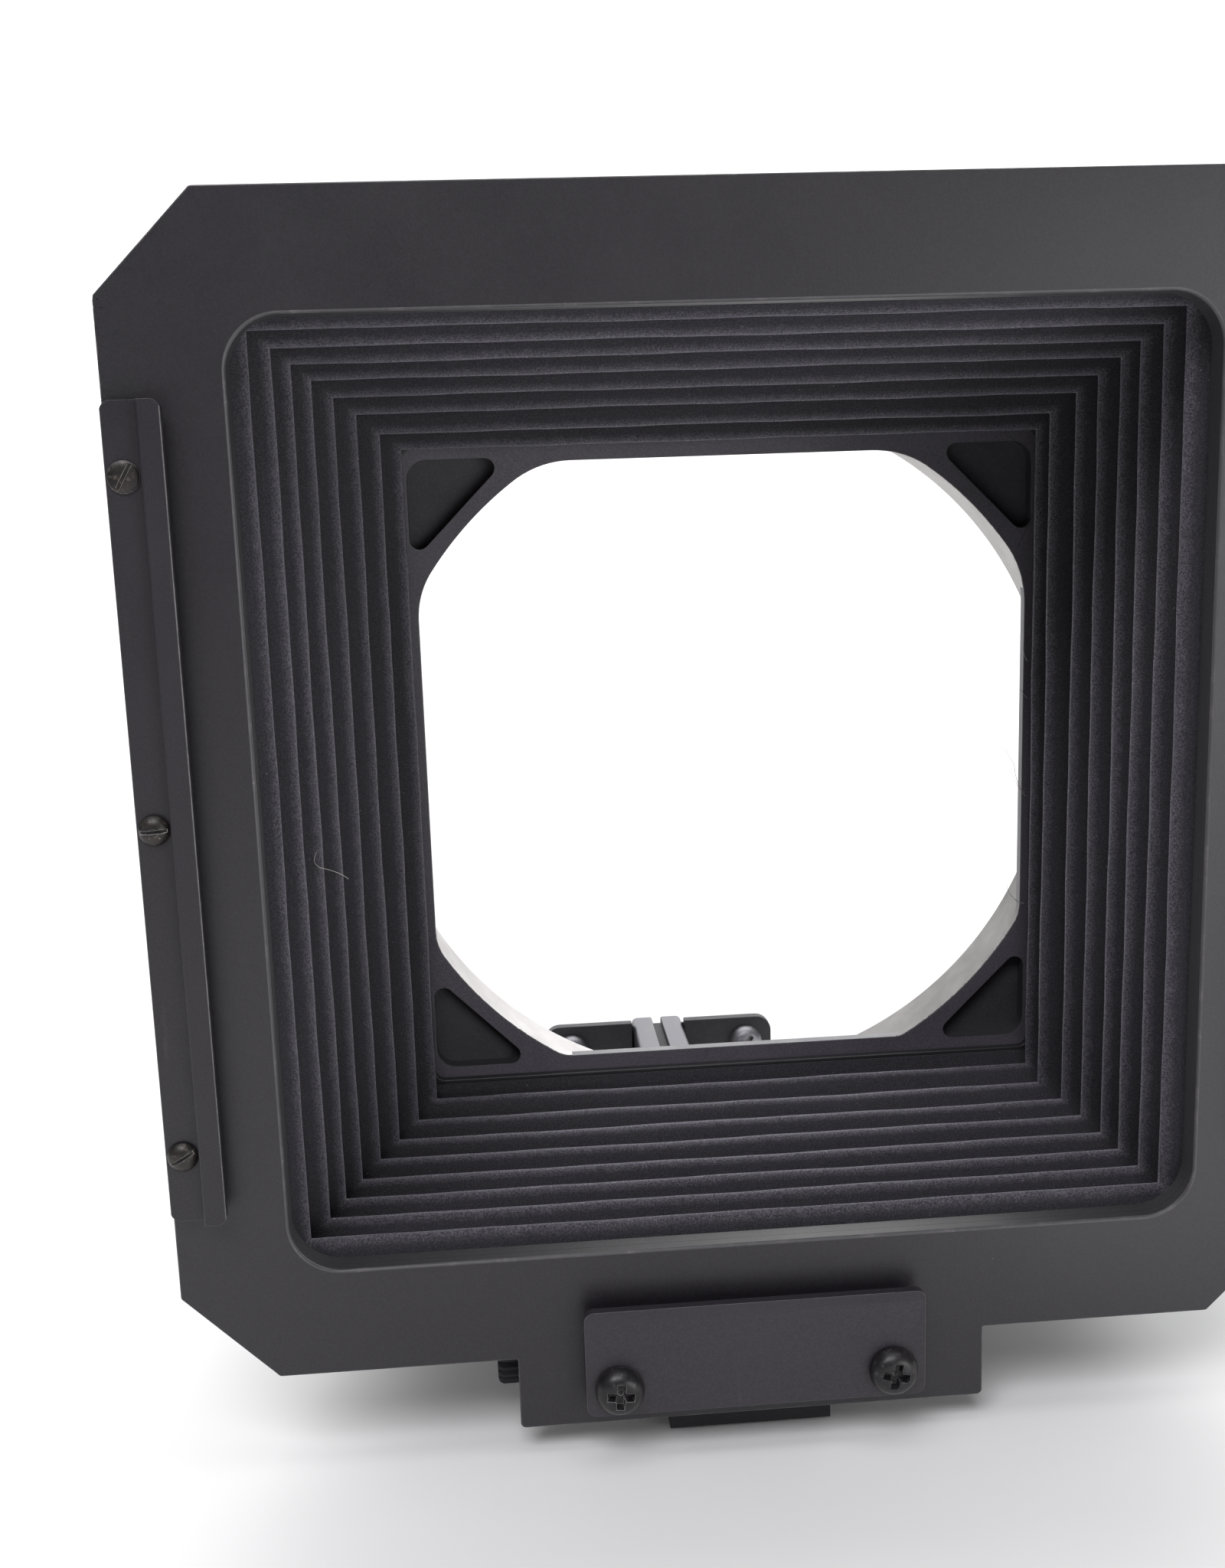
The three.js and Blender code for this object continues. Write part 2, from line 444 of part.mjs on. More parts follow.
// thumb screw that holds a lens adapter in the rear frame
{
  const x = REAR_C[0] + 40.5, y = 69.7, zt = REAR_C[1] + REAR_H - 2.2;
  const k = new THREE.ExtrudeGeometry(knurl(3.3, 20, 0.35), { depth: 3.4, bevelEnabled: false }).translate(x, y, zt + 1.2);
  let m = join(solid(k), cylZ(x, y, 2.2, zt + 0.3, zt + 1.6, 20), cylZ(x, y, 1.2, zt - 5, zt + 1, 14));
  add(rear, "adapter_screw", m, mats.plate);
  // its threaded hole
  const fr = rear.children.find((c) => c.name === "rear_frame");
  fr.geometry = geometry(cut(solid(fr.geometry), cylZ(x, y, 1.5, zt - 5.4, zt + 3, 14)));
}

// origin: bottom centre of the bounding box
{
  hood.updateMatrixWorld(true);
  const b = new THREE.Box3().setFromObject(hood);
  hood.position.set(-(b.min.x + b.max.x) / 2, -(b.min.y + b.max.y) / 2, -b.min.z);
}

export default hood;
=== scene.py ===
import json
import math
import random

import bmesh
import bpy
import numpy as np
from mathutils import Matrix, Vector
from mathutils.geometry import tessellate_polygon


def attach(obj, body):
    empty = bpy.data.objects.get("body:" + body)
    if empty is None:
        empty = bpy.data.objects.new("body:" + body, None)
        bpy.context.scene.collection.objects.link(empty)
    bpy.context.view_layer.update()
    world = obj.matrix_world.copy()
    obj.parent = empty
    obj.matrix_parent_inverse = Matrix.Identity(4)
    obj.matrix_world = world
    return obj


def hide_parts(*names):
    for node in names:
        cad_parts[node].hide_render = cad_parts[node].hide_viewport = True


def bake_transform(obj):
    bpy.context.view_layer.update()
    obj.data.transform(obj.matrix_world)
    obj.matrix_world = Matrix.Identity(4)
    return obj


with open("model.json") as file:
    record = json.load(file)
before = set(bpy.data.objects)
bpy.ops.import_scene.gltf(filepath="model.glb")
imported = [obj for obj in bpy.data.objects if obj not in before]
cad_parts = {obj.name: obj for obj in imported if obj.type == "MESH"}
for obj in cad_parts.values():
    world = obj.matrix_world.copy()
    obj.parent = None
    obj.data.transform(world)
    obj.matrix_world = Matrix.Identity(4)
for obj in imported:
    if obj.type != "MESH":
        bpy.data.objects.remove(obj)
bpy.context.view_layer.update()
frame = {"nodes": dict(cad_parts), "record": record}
NODES = frame["nodes"]

# Shapes are written in millimetres about the centre of the front window (front
# face of the plate at y = 0) and moved into the row frame by place().
MM = 0.001
SHIFT = Vector((0.0, -52.009, 76.3))


def place(p):
    return (Vector(p) + SHIFT) * MM


# ------------------------------------------------------------------ camera
def camera():
    f, yaw, pitch, roll = 2189.911, 0.07436255, 0.19617724, -0.03259849
    t = Vector((14.1977709, 181.880690, -1.57462329))
    c, s = math.cos(yaw), math.sin(yaw)
    rz = Matrix(((c, -s, 0), (s, c, 0), (0, 0, 1)))
    c, s = math.cos(pitch), math.sin(pitch)
    rx = Matrix(((1, 0, 0), (0, c, -s), (0, s, c)))
    c, s = math.cos(roll), math.sin(roll)
    ry = Matrix(((c, 0, s), (0, 1, 0), (-s, 0, c)))
    rot = ry @ rx @ rz
    inv = rot.transposed()
    pos = -(inv @ t)
    right, fwd, up = inv @ Vector((1, 0, 0)), inv @ Vector((0, 1, 0)), inv @ Vector((0, 0, 1))
    m = Matrix((right, up, -fwd)).transposed().to_4x4()
    m.translation = place(pos)
    data = bpy.data.cameras.new("camera")
    data.sensor_fit = "AUTO"
    data.sensor_width = 36.0
    data.lens = f / 2048 * 36.0
    data.clip_start, data.clip_end = 0.005, 50
    cam = bpy.data.objects.new("camera", data)
    cam.matrix_world = m
    bpy.context.scene.collection.objects.link(cam)
    bpy.context.scene.camera = cam
    return cam


camera()


# ------------------------------------------------------------- node helpers
class Nodes:
    """A short way to write a procedural material."""

    def __init__(self, name):
        self.mat = bpy.data.materials.new(name)
        self.mat.use_nodes = True
        self.nt = self.mat.node_tree
        self.bsdf = next(n for n in self.nt.nodes if n.type == "BSDF_PRINCIPLED")
        self.coord = self.nt.nodes.new("ShaderNodeTexCoord").outputs["Object"]

    def set(self, **kw):
        for k, v in kw.items():
            self.bsdf.inputs[k.replace("_", " ")].default_value = v
        return self

    def link(self, a, b):
        self.nt.links.new(a, b)

    def noise(self, scale, detail=4.0, rough=0.6, vec=None, dist=0.0):
        n = self.nt.nodes.new("ShaderNodeTexNoise")
        n.inputs["Scale"].default_value = scale
        n.inputs["Detail"].default_value = detail
        n.inputs["Roughness"].default_value = rough
        n.inputs["Distortion"].default_value = dist
        self.link(vec or self.coord, n.inputs["Vector"])
        return n.outputs["Fac"]

    def scaled(self, x, y, z, rot=(0, 0, 0)):
        n = self.nt.nodes.new("ShaderNodeMapping")
        n.inputs["Scale"].default_value = (x, y, z)
        n.inputs["Rotation"].default_value = rot
        self.link(self.coord, n.inputs["Vector"])
        return n.outputs["Vector"]

    def voronoi(self, scale, feature="F1", vec=None, rnd=1.0):
        n = self.nt.nodes.new("ShaderNodeTexVoronoi")
        n.feature = feature
        n.inputs["Scale"].default_value = scale
        n.inputs["Randomness"].default_value = rnd
        self.link(vec or self.coord, n.inputs["Vector"])
        return n.outputs["Distance"]

    def wave(self, scale, direction="X", dist=0.0, vec=None, profile="SIN"):
        n = self.nt.nodes.new("ShaderNodeTexWave")
        n.bands_direction = direction
        n.wave_profile = profile
        n.inputs["Scale"].default_value = scale
        n.inputs["Distortion"].default_value = dist
        n.inputs["Detail"].default_value = 1.0
        self.link(vec or self.coord, n.inputs["Vector"])
        return n.outputs["Fac"]

    def ramp(self, fac, stops, interp="LINEAR"):
        n = self.nt.nodes.new("ShaderNodeValToRGB")
        n.color_ramp.interpolation = interp
        el = n.color_ramp.elements
        while len(el) < len(stops):
            el.new(0.5)
        for e, (p, c) in zip(el, stops):
            e.position = p
            e.color = (c, c, c, 1) if isinstance(c, (int, float)) else (*c, 1)
        self.link(fac, n.inputs["Fac"])
        return n.outputs["Color"]

    def math(self, op, a, b=None, clamp=False):
        n = self.nt.nodes.new("ShaderNodeMath")
        n.operation = op
        n.use_clamp = clamp
        for i, v in enumerate((a, b)):
            if v is None:
                continue
            if isinstance(v, (int, float)):
                n.inputs[i].default_value = v
            else:
                self.link(v, n.inputs[i])
        return n.outputs[0]

    def mix(self, fac, a, b, blend="MIX"):
        n = self.nt.nodes.new("ShaderNodeMix")
        n.data_type = "RGBA"
        n.blend_type = blend
        ins = [i for i in n.inputs if i.type == "RGBA"]
        facin = [i for i in n.inputs if i.type == "VALUE"][0]
        for sock, v in ((facin, fac), (ins[0], a), (ins[1], b)):
            if isinstance(v, (int, float)):
                sock.default_value = v if sock is facin else (v, v, v, 1)
            elif isinstance(v, tuple):
                sock.default_value = (*v, 1)
            else:
                self.link(v, sock)
        return [o for o in n.outputs if o.type == "RGBA"][0]

    def geometry(self, out):
        return self.nt.nodes.new("ShaderNodeNewGeometry").outputs[out]

    def bump(self, height, strength, distance, normal=None):
        n = self.nt.nodes.new("ShaderNodeBump")
        n.inputs["Strength"].default_value = strength
        n.inputs["Distance"].default_value = distance
        self.link(height, n.inputs["Height"])
        if normal is not None:
            self.link(normal, n.inputs["Normal"])
        return n.outputs["Normal"]

    def out(self, colour=None, rough=None, normal=None, metal=None):
        for sock, v in (("Base Color", colour), ("Roughness", rough), ("Normal", normal), ("Metallic", metal)):
            if v is not None:
                self.link(v, self.bsdf.inputs[sock])
        return self.mat


def srgb(r, g=None, b=None):
    def f(c):
        c /= 255.0
        return c / 12.92 if c <= 0.04045 else ((c + 0.055) / 1.055) ** 2.4
    g = r if g is None else g
    b = r if b is None else b
    return (f(r), f(g), f(b))


# --------------------------------------------------------------- dimensions
PLATE_H, PLATE_T, CHAMFER, WIN_H, WIN_R = 64.5, 1.5, 10.3, 52.0, 5.7
TAB_H, TAB_Z = 27.2, -73.2
REAR_C = (7.85, -7.9)
REAR_Y, REAR_T, REAR_H = 64.4, 1.7, 52.4
BORE_R, APER_H, BOSS_Y = 51.2, 44.2, 73.0
GAP, GAP_LOW = 16.0, 21.0


# ---------------------------------------------------------------- materials
def mat_black_plate():
    """Black anodised sheet: satin and finely grained."""
    n = Nodes("black_plate").set(Roughness=0.4, Metallic=0.0, IOR=1.52)
    cloud = n.noise(26, 5, 0.6)
    grain = n.noise(5200, 3, 0.75)
    col = n.mix(n.ramp(cloud, [(0.3, 0.0), (0.7, 1.0)]), srgb(24, 22, 27), srgb(30, 28, 33))
    col = n.mix(n.ramp(grain, [(0.35, 0.0), (0.7, 1.0)]), col, srgb(40, 38, 43))
    # dust specks
    dust = n.ramp(n.voronoi(700), [(0.0, 1.0), (0.075, 0.0)])
    dust = n.math("MULTIPLY", dust, n.ramp(n.noise(170, 2), [(0.62, 0.0), (0.7, 1.0)]))
    col = n.mix(n.math("MULTIPLY", dust, 0.35), col, srgb(130, 126, 122))
    rough = n.ramp(n.noise(60, 6, 0.7), [(0.25, 0.36), (0.75, 0.46)])
    b = n.bump(grain, 0.25, 0.00004)
    b = n.bump(n.noise(900, 4), 0.10, 0.00006, b)
    return n.out(col, rough, b)


def mat_edge(name, lo=44, hi=104, share=0.5, rough=0.4):
    """Where an edge is broken the finish is thinner: it is greyer, and rubbed in patches. Made lighter, it also paints
    a highlight on the window's bevel and on the rails' and mask stop's edges.
    """
    n = Nodes(name).set(Roughness=rough, Metallic=0.0, IOR=1.5)
    patch = n.ramp(n.noise(330, 6, 0.72), [(share, 0.0), (share + 0.16, 1.0)])
    nick = n.ramp(n.noise(1400, 4, 0.7), [(0.6, 0.0), (0.72, 1.0)])
    col = n.mix(patch, srgb(lo, lo - 1, lo + 2), srgb(hi - 26, hi - 28, hi - 26))
    col = n.mix(n.math("MULTIPLY", nick, patch), col, srgb(hi + 20, hi + 18, hi + 16))
    return n.out(col, n.ramp(patch, [(0.0, rough), (1.0, rough + 0.08)]), n.bump(n.noise(2600, 4), 0.2, 0.00004))


def mat_window_wall():
    """The window's wall: the plate's finish, duller towards both sides."""
    n = Nodes("window_wall").set(Roughness=0.5, IOR=1.5)
    sep = n.nt.nodes.new("ShaderNodeSeparateXYZ")
    n.link(n.coord, sep.inputs[0])
    across = n.math("ADD", n.math("MULTIPLY", sep.outputs["X"], 9.6), 0.5)
    grain = n.noise(3600, 3, 0.7)
    col = n.mix(n.ramp(grain, [(0.4, 0.0), (0.7, 1.0)]), srgb(22, 21, 25), srgb(36, 34, 39))
    rough = n.ramp(n.math("ADD", across, n.math("MULTIPLY", n.noise(70, 4), 0.12)), [(0.12, 0.92), (0.45, 0.58), (0.62, 0.42), (0.84, 0.5), (0.99, 0.92)])
    return n.out(col, rough, n.bump(grain, 0.2, 0.00004))


def mat_rail_black(name="black_rail", up=-3):
    """The same finish handled more, with faint rubbing along its length."""
    n = Nodes(name).set(Roughness=0.4, Metallic=0.0, IOR=1.52)
    cloud = n.noise(60, 6, 0.65, n.scaled(1, 1, 0.25))
    grain = n.noise(4200, 3, 0.7)
    col = n.mix(n.ramp(cloud, [(0.3, 0.0), (0.75, 1.0)]), srgb(23 + up, 21 + up, 27 + up), srgb(32 + up, 29 + up, 35 + up))
    col = n.mix(n.ramp(grain, [(0.4, 0.0), (0.7, 1.0)]), col, srgb(41 + up, 38 + up, 44 + up))
    scuff = n.ramp(n.noise(210, 7, 0.75, n.scaled(1, 1, 0.18)), [(0.62, 0.0), (0.74, 1.0)])
    col = n.mix(n.math("MULTIPLY", scuff, 0.3), col, srgb(80, 74, 70))
    rough = n.ramp(n.noise(90, 6, 0.7), [(0.25, 0.38), (0.75, 0.52)])
    b = n.bump(grain, 0.2, 0.00004)
    return n.out(col, rough, b)


def mat_moulded():
    """Moulded black plastic: fine even grain."""
    n = Nodes("black_moulded").set(Roughness=0.5, IOR=1.5)
    grain = n.noise(3600, 4, 0.7)
    cloud = n.noise(45, 5, 0.6)
    col = n.mix(n.ramp(cloud, [(0.3, 0.0), (0.7, 1.0)]), srgb(34, 33, 36), srgb(41, 40, 43))
    col = n.mix(n.ramp(grain, [(0.45, 0.0), (0.7, 1.0)]), col, srgb(48, 47, 50))
    dust = n.ramp(n.voronoi(900), [(0.0, 1.0), (0.08, 0.0)])
    dust = n.math("MULTIPLY", dust, n.ramp(n.noise(120, 2), [(0.6, 0.0), (0.68, 1.0)]))
    col = n.mix(n.math("MULTIPLY", dust, 0.5), col, srgb(130, 126, 122))
    rough = n.ramp(n.noise(80, 6, 0.7), [(0.25, 0.4), (0.75, 0.55)])
    b = n.bump(grain, 0.35, 0.00005)
    return n.out(col, rough, b)


def mat_frame():
    """The rear frame: a dark grey moulding, a little rubbed."""
    n = Nodes("frame_grey").set(Roughness=0.55, IOR=1.5)
    grain = n.noise(3000, 4, 0.7)
    cloud = n.noise(70, 5, 0.6)
    col = n.mix(n.ramp(cloud, [(0.3, 0.0), (0.7, 1.0)]), srgb(74, 71, 78), srgb(86, 83, 91))
    col = n.mix(n.ramp(grain, [(0.42, 0.0), (0.7, 1.0)]), col, srgb(98, 95, 103))
    dust = n.ramp(n.voronoi(900), [(0.0, 1.0), (0.08, 0.0)])
    dust = n.math("MULTIPLY", dust, n.ramp(n.noise(120, 2), [(0.56, 0.0), (0.66, 1.0)]))
    col = n.mix(n.math("MULTIPLY", dust, 0.5), col, srgb(150, 146, 142))
    rough = n.ramp(n.noise(80, 6, 0.7), [(0.25, 0.48), (0.75, 0.62)])
    return n.out(col, rough, n.bump(grain, 0.3, 0.00005))


def mat_dull(name, lo, hi, rough):
    """Plain finish in one grey, unevenly dulled."""
    n = Nodes(name).set(Roughness=rough, IOR=1.45)
    col = n.mix(n.ramp(n.noise(90, 5, 0.6), [(0.3, 0.0), (0.7, 1.0)]), srgb(lo, lo - 1, lo + 3), srgb(hi, hi - 1, hi + 3))
    grain = n.noise(3000, 4, 0.7)
    col = n.mix(n.ramp(grain, [(0.5, 0.0), (0.72, 1.0)]), col, srgb(hi + 8, hi + 6, hi + 10))
    return n.out(col, n.ramp(n.noise(200, 6, 0.7), [(0.25, rough - 0.07), (0.75, rough + 0.08)]), n.bump(grain, 0.25, 0.00004))


def mat_bore(name="bore_wall", lo=192, hi=210, metal=0.55):
    """The bore wall is bare satin metal; the black finish laps raggedly over its front edge."""
    n = Nodes(name).set(Roughness=0.45, Metallic=metal)
    sep = n.nt.nodes.new("ShaderNodeSeparateXYZ")
    n.link(n.coord, sep.inputs[0])
    depth = n.math("MULTIPLY", n.math("SUBTRACT", sep.outputs["Y"], (REAR_Y - 52.009) * MM), 1000.0)
    ragged = n.math("MULTIPLY", n.ramp(n.noise(1500, 6, 0.75), [(0.35, 0.0), (0.7, 1.0)]), 0.42)
    black = n.ramp(n.math("SUBTRACT", n.math("ADD", ragged, 0.10), depth), [(0.0, 0.0), (0.05, 1.0)])
    cloud = n.noise(110, 5, 0.6)
    col = n.mix(n.ramp(cloud, [(0.3, 0.0), (0.7, 1.0)]), srgb(lo, lo - 4, lo - 5), srgb(hi, hi - 3, hi - 4))
    mark = n.ramp(n.noise(1100, 5, 0.75), [(0.66, 0.0), (0.74, 1.0)])
    col = n.mix(n.math("MULTIPLY", mark, 0.4), col, srgb(130, 124, 122))
    col = n.mix(black, col, srgb(34, 32, 34))
    rough = n.ramp(n.noise(300, 6, 0.7), [(0.25, 0.46), (0.75, 0.62)])
    return n.out(col, rough, n.bump(n.noise(2400, 4), 0.15, 0.00004))


def mat_fibre():
    n = Nodes("fibre").set(Roughness=0.8)
    return n.out(n.mix(n.ramp(n.noise(900, 3), [(0.35, 0.0), (0.7, 1.0)]), srgb(150, 146, 144), srgb(205, 201, 197)), None, None)


def mat_cloth():
    """Coated bellows cloth: dull, finely woven, with pale fibres on the folds; the fold ridges are painted lighter,
    partly rubbed cloth and partly painted highlight, with painted glints at their tips.
    """
    n = Nodes("bellows_cloth").set(Roughness=0.82, IOR=1.45, Sheen_Weight=0.18, Sheen_Roughness=0.5)
    n.bsdf.inputs["Sheen Tint"].default_value = (0.84, 0.84, 1.0, 1)
    fold = n.nt.nodes.new("ShaderNodeAttribute")
    fold.attribute_name = "fold"
    # lighter towards the fold ridges: partly rubbed cloth, partly painted highlight
    rub_and_ridge_highlight = n.math("ADD", fold.outputs["Fac"], n.math("MULTIPLY", n.math("SUBTRACT", n.noise(700, 5, 0.7), 0.5), 0.5))
    rub_and_ridge_highlight = n.ramp(rub_and_ridge_highlight, [(0.40, 0.0), (0.66, 0.5), (0.92, 1.0)])
    fibre = n.noise(5200, 3, 0.7)
    fuzz = n.noise(3000, 5, 0.8)
    cloud = n.noise(38, 4, 0.6)
    low = n.mix(n.ramp(cloud, [(0.3, 0.0), (0.7, 1.0)]), srgb(27, 26, 31), srgb(34, 33, 38))
    low = n.mix(n.ramp(fibre, [(0.45, 0.0), (0.62, 1.0)]), low, srgb(54, 52, 58))
    high = n.mix(n.ramp(fibre, [(0.44, 0.0), (0.60, 1.0)]), srgb(42, 41, 46), srgb(108, 105, 113))
    high = n.mix(n.ramp(fuzz, [(0.5, 0.0), (0.62, 1.0)]), high, srgb(92, 90, 97))
    # painted glints on the tips of the folds
    tip = n.math("MULTIPLY", n.ramp(fold.outputs["Fac"], [(0.80, 0.0), (0.97, 1.0)]), n.ramp(n.noise(3600, 4, 0.8), [(0.55, 0.0), (0.66, 1.0)]))
    high = n.mix(n.math("MULTIPLY", tip, 0.75), high, srgb(168, 164, 168))
    col = n.mix(rub_and_ridge_highlight, low, high)
    lint = n.ramp(n.voronoi(900), [(0.0, 1.0), (0.10, 0.0)])
    lint = n.math("MULTIPLY", lint, n.ramp(n.noise(230, 2), [(0.54, 0.0), (0.64, 1.0)]))
    col = n.mix(n.math("MULTIPLY", lint, 0.7), col, srgb(150, 146, 146))
    weave = n.math("MULTIPLY", n.math("ADD", n.wave(1500, "X", 0.6), n.math("ADD", n.wave(1500, "Y", 0.6), n.wave(1500, "Z", 0.6))), 0.3333)
    b = n.bump(weave, 0.35, 0.00006)
    b = n.bump(fuzz, 0.6, 0.0001, b)
    return n.out(col, None, b)


def mat_black_screw():
    n = Nodes("black_screw").set(Roughness=0.4, Metallic=0.1, IOR=1.5)
    col = n.mix(n.ramp(n.noise(500, 5), [(0.35, 0.0), (0.7, 1.0)]), srgb(20, 19, 21), srgb(33, 31, 33))
    col = n.mix(n.ramp(n.noise(1600, 4), [(0.58, 0.0), (0.7, 1.0)]), col, srgb(60, 57, 58))
    rough = n.ramp(n.noise(900, 5, 0.7), [(0.3, 0.28), (0.75, 0.46)])
    b = n.bump(n.noise(1800, 4), 0.25, 0.00004)
    return n.out(col, rough, b)


def mat_worn_screw():
    """Small brass-based screws whose black finish has rubbed brown."""
    n = Nodes("worn_screw").set(Roughness=0.4, Metallic=0.3)
    patch = n.noise(650, 6, 0.7)
    col = n.mix(n.ramp(patch, [(0.38, 0.0), (0.62, 1.0)]), srgb(26, 24, 24), srgb(52, 47, 44))
    col = n.mix(n.ramp(n.noise(1700, 5, 0.7), [(0.56, 0.0), (0.68, 1.0)]), col, srgb(96, 88, 82))
    rough = n.ramp(n.noise(1500, 5, 0.7), [(0.3, 0.3), (0.75, 0.52)])
    b = n.bump(n.noise(2600, 5), 0.35, 0.00004)
    return n.out(col, rough, b)


def mat_aluminium(name="rail_metal", lo=172, hi=196, along=(60, 2.5, 60)):
    """Satin drawn aluminium, with fine lines along its length."""
    n = Nodes(name).set(Roughness=0.36, Metallic=1.0)
    lines = n.noise(28, 6, 0.7, n.scaled(*along))
    col = n.mix(n.ramp(lines, [(0.3, 0.0), (0.7, 1.0)]), srgb(lo, lo, lo + 5), srgb(hi, hi, hi + 5))
    stain = n.ramp(n.noise(160, 6, 0.7), [(0.56, 0.0), (0.72, 1.0)])
    col = n.mix(n.math("MULTIPLY", stain, 0.35), col, srgb(120, 116, 112))
    rough = n.ramp(lines, [(0.25, 0.40), (0.75, 0.56)])
    b = n.bump(lines, 0.3, 0.00004)
    return n.out(col, rough, b)


def mat_brass():
    n = Nodes("brass").set(Roughness=0.35, Metallic=1.0)
    col = n.mix(n.ramp(n.noise(300, 5), [(0.35, 0.0), (0.7, 1.0)]), srgb(150, 118, 66), srgb(188, 154, 92))
    return n.out(col, n.ramp(n.noise(600, 5), [(0.3, 0.28), (0.75, 0.48)]), n.bump(n.noise(1500, 4), 0.25, 0.00004))


M = {
    "black_plate": mat_black_plate(),
    "black_rail": mat_rail_black(),
    "black_moulded": mat_moulded(),
    "bellows_cloth": mat_cloth(),
    "black_screw": mat_black_screw(),
    "worn_screw": mat_worn_screw(),
    "rail_metal": mat_aluminium("rail_metal", 92, 112),
    "brass": mat_brass(),
    # the window's bevel: worn edge, made lighter as a painted highlight
    "window_rim_wear_and_highlight": mat_edge("window_rim_wear_and_highlight", 66, 108, 0.5, 0.42),
    "frame_grey": mat_frame(),
    "foot_grey": mat_dull("foot_grey", 56, 68, 0.6),
    "black_dull": mat_dull("black_dull", 20, 27, 0.75),
    # painted shade for recesses: the rear frame's pockets and the rail's groove
    "recess_shade": mat_dull("recess_shade", 54, 62, 0.65),
    "lip": mat_dull("lip", 112, 132, 0.5),
    "screw_metal": mat_aluminium("screw_metal", 150, 176),
    "bore_wall": mat_bore(),
    # painted shade: a darker copy of the bore wall's finish for its lower right quarter
    "bore_wall_shaded": mat_bore("bore_wall_shaded", 118, 138, 0.3),
    "window_wall": mat_window_wall(),
    "black_stop": mat_rail_black("black_stop", 8),
    "fibre": mat_fibre(),
    "black_plate_edge": mat_edge("black_plate_edge", 56, 112, 0.47),
    # the rails' and the mask stop's edges: worn edge, made lighter as a painted highlight
    "black_rail_edge": mat_edge("black_rail_edge", 86, 136, 0.42, 0.34),
    "frame_grey_edge": mat_edge("frame_grey_edge", 78, 118, 0.5),
    "black_moulded_edge": mat_edge("black_moulded_edge", 46, 84, 0.52),
}

# carried-over CAD nodes start with the material of their slot
for part in frame["record"]["subparts"]:
    o = NODES.get(part["node"])
    if o is not None:
        o.data.materials.clear()
        o.data.materials.append(M[part["material_slot"]])


# ------------------------------------------------------------- mesh helpers
def to_object(name, bm, mat, angle=38):
    bmesh.ops.recalc_face_normals(bm, faces=bm.faces)
    me = bpy.data.meshes.new(name)
    bm.to_mesh(me)
    bm.free()
    me.polygons.foreach_set("use_smooth", [True] * len(me.polygons))
    me.set_sharp_from_angle(angle=math.radians(angle))
    ob = bpy.data.objects.new(name, me)
    bpy.context.scene.collection.objects.link(ob)
    if mat:
        me.materials.append(M[mat] if isinstance(mat, str) else mat)
        ob["mat_key"] = mat if isinstance(mat, str) else mat.name
        if isinstance(mat, str) and mat + "_edge" in M:
            me.materials.append(M[mat + "_edge"])
    return ob


EDGED = ("black_plate", "black_rail", "black_moulded", "frame_grey")

AX = {
    "Y": lambda u, v, w: (u, w, v),      # outline in X, Z
    "Z": lambda u, v, w: (u, v, w),      # outline in X, Y
    "X": lambda u, v, w: (w, u, v),      # outline in Y, Z
}


def offset_loop(loop, d):
    """Moves each point towards the material (left of the walking direction) by d."""
    n = len(loop)
    out = []
    for i in range(n):
        p0, p1, p2 = (np.array(loop[(i + k) % n], float) for k in (-1, 0, 1))
        a, b = p1 - p0, p2 - p1
        a, b = a / max(np.linalg.norm(a), 1e-9), b / max(np.linalg.norm(b), 1e-9)
        na, nb = np.array((-a[1], a[0])), np.array((-b[1], b[0]))
        m = na + nb
        m = m / max(np.linalg.norm(m), 1e-9)
        out.append(tuple(p1 + m * d / max(float(m @ na), 0.25)))
    return out


def area2(loop):
    return sum(a[0] * b[1] - b[0] * a[1] for a, b in zip(loop, loop[1:] + loop[:1]))


def prism(name, loops, w0, w1, bevel=0.12, axis="Y", mat=None, seg=3, joined=True):
    """Closed plate or bar: loops[0] is the outline and the rest are holes. bevel is
    one number, or (at w0, at w1) for each loop. Flat caps keep a support line beside
    each rounded edge, so that they shade flat."""
    if w1 < w0:
        w0, w1 = w1, w0
    bm = bmesh.new()
    put = AX[axis]
    caps = ([], [])
    for k, loop in enumerate(loops):
        loop = [tuple(p) for p in loop]
        if (area2(loop) > 0) != (k == 0):
            loop = loop[::-1]
        b = bevel[k] if isinstance(bevel, (list, tuple)) else bevel
        b0, b1 = b if isinstance(b, (list, tuple)) else (b, b)
        s = 0.08
        rings = [(b0 + s, w0)]
        for i in range(seg + 1):
            t = i / seg * math.pi / 2
            rings.append((b0 * (1 - math.sin(t)), w0 + b0 * (1 - math.cos(t))))
        rings.append((0, w0 + b0 + s))
        rings.append((0, w1 - b1 - s))
        for i in range(seg + 1):
            t = (1 - i / seg) * math.pi / 2
            rings.append((b1 * (1 - math.sin(t)), w1 - b1 * (1 - math.cos(t))))
        rings.append((b1 + s, w1))
        vs = []
        for d, w in rings:
            vs.append([bm.verts.new(place(put(p[0], p[1], w))) for p in offset_loop(loop, d)])
        n = len(loop)
        for q, (r0, r1) in enumerate(zip(vs, vs[1:])):
            edge = 1 if (1 <= q <= seg and b0 > 0.02) or (seg + 3 <= q <= 2 * seg + 2 and b1 > 0.02) else 0
            for i in range(n):
                j = (i + 1) % n
                fc_ = bm.faces.new((r0[i], r0[j], r1[j], r1[i]))
                fc_.material_index = edge if mat in EDGED else 0
        caps[0].append((offset_loop(loop, b0 + s), vs[0]))
        caps[1].append((offset_loop(loop, b1 + s), vs[-1]))
    for cap in caps:
        flat = [v for _, vs in cap for v in vs]
        for tri in tessellate_polygon([[Vector((p[0], p[1], 0)) for p in pts] for pts, _ in cap]):
            try:
                bm.faces.new([flat[i] for i in tri])
            except ValueError:
                pass
    return to_object(name, bm, mat)


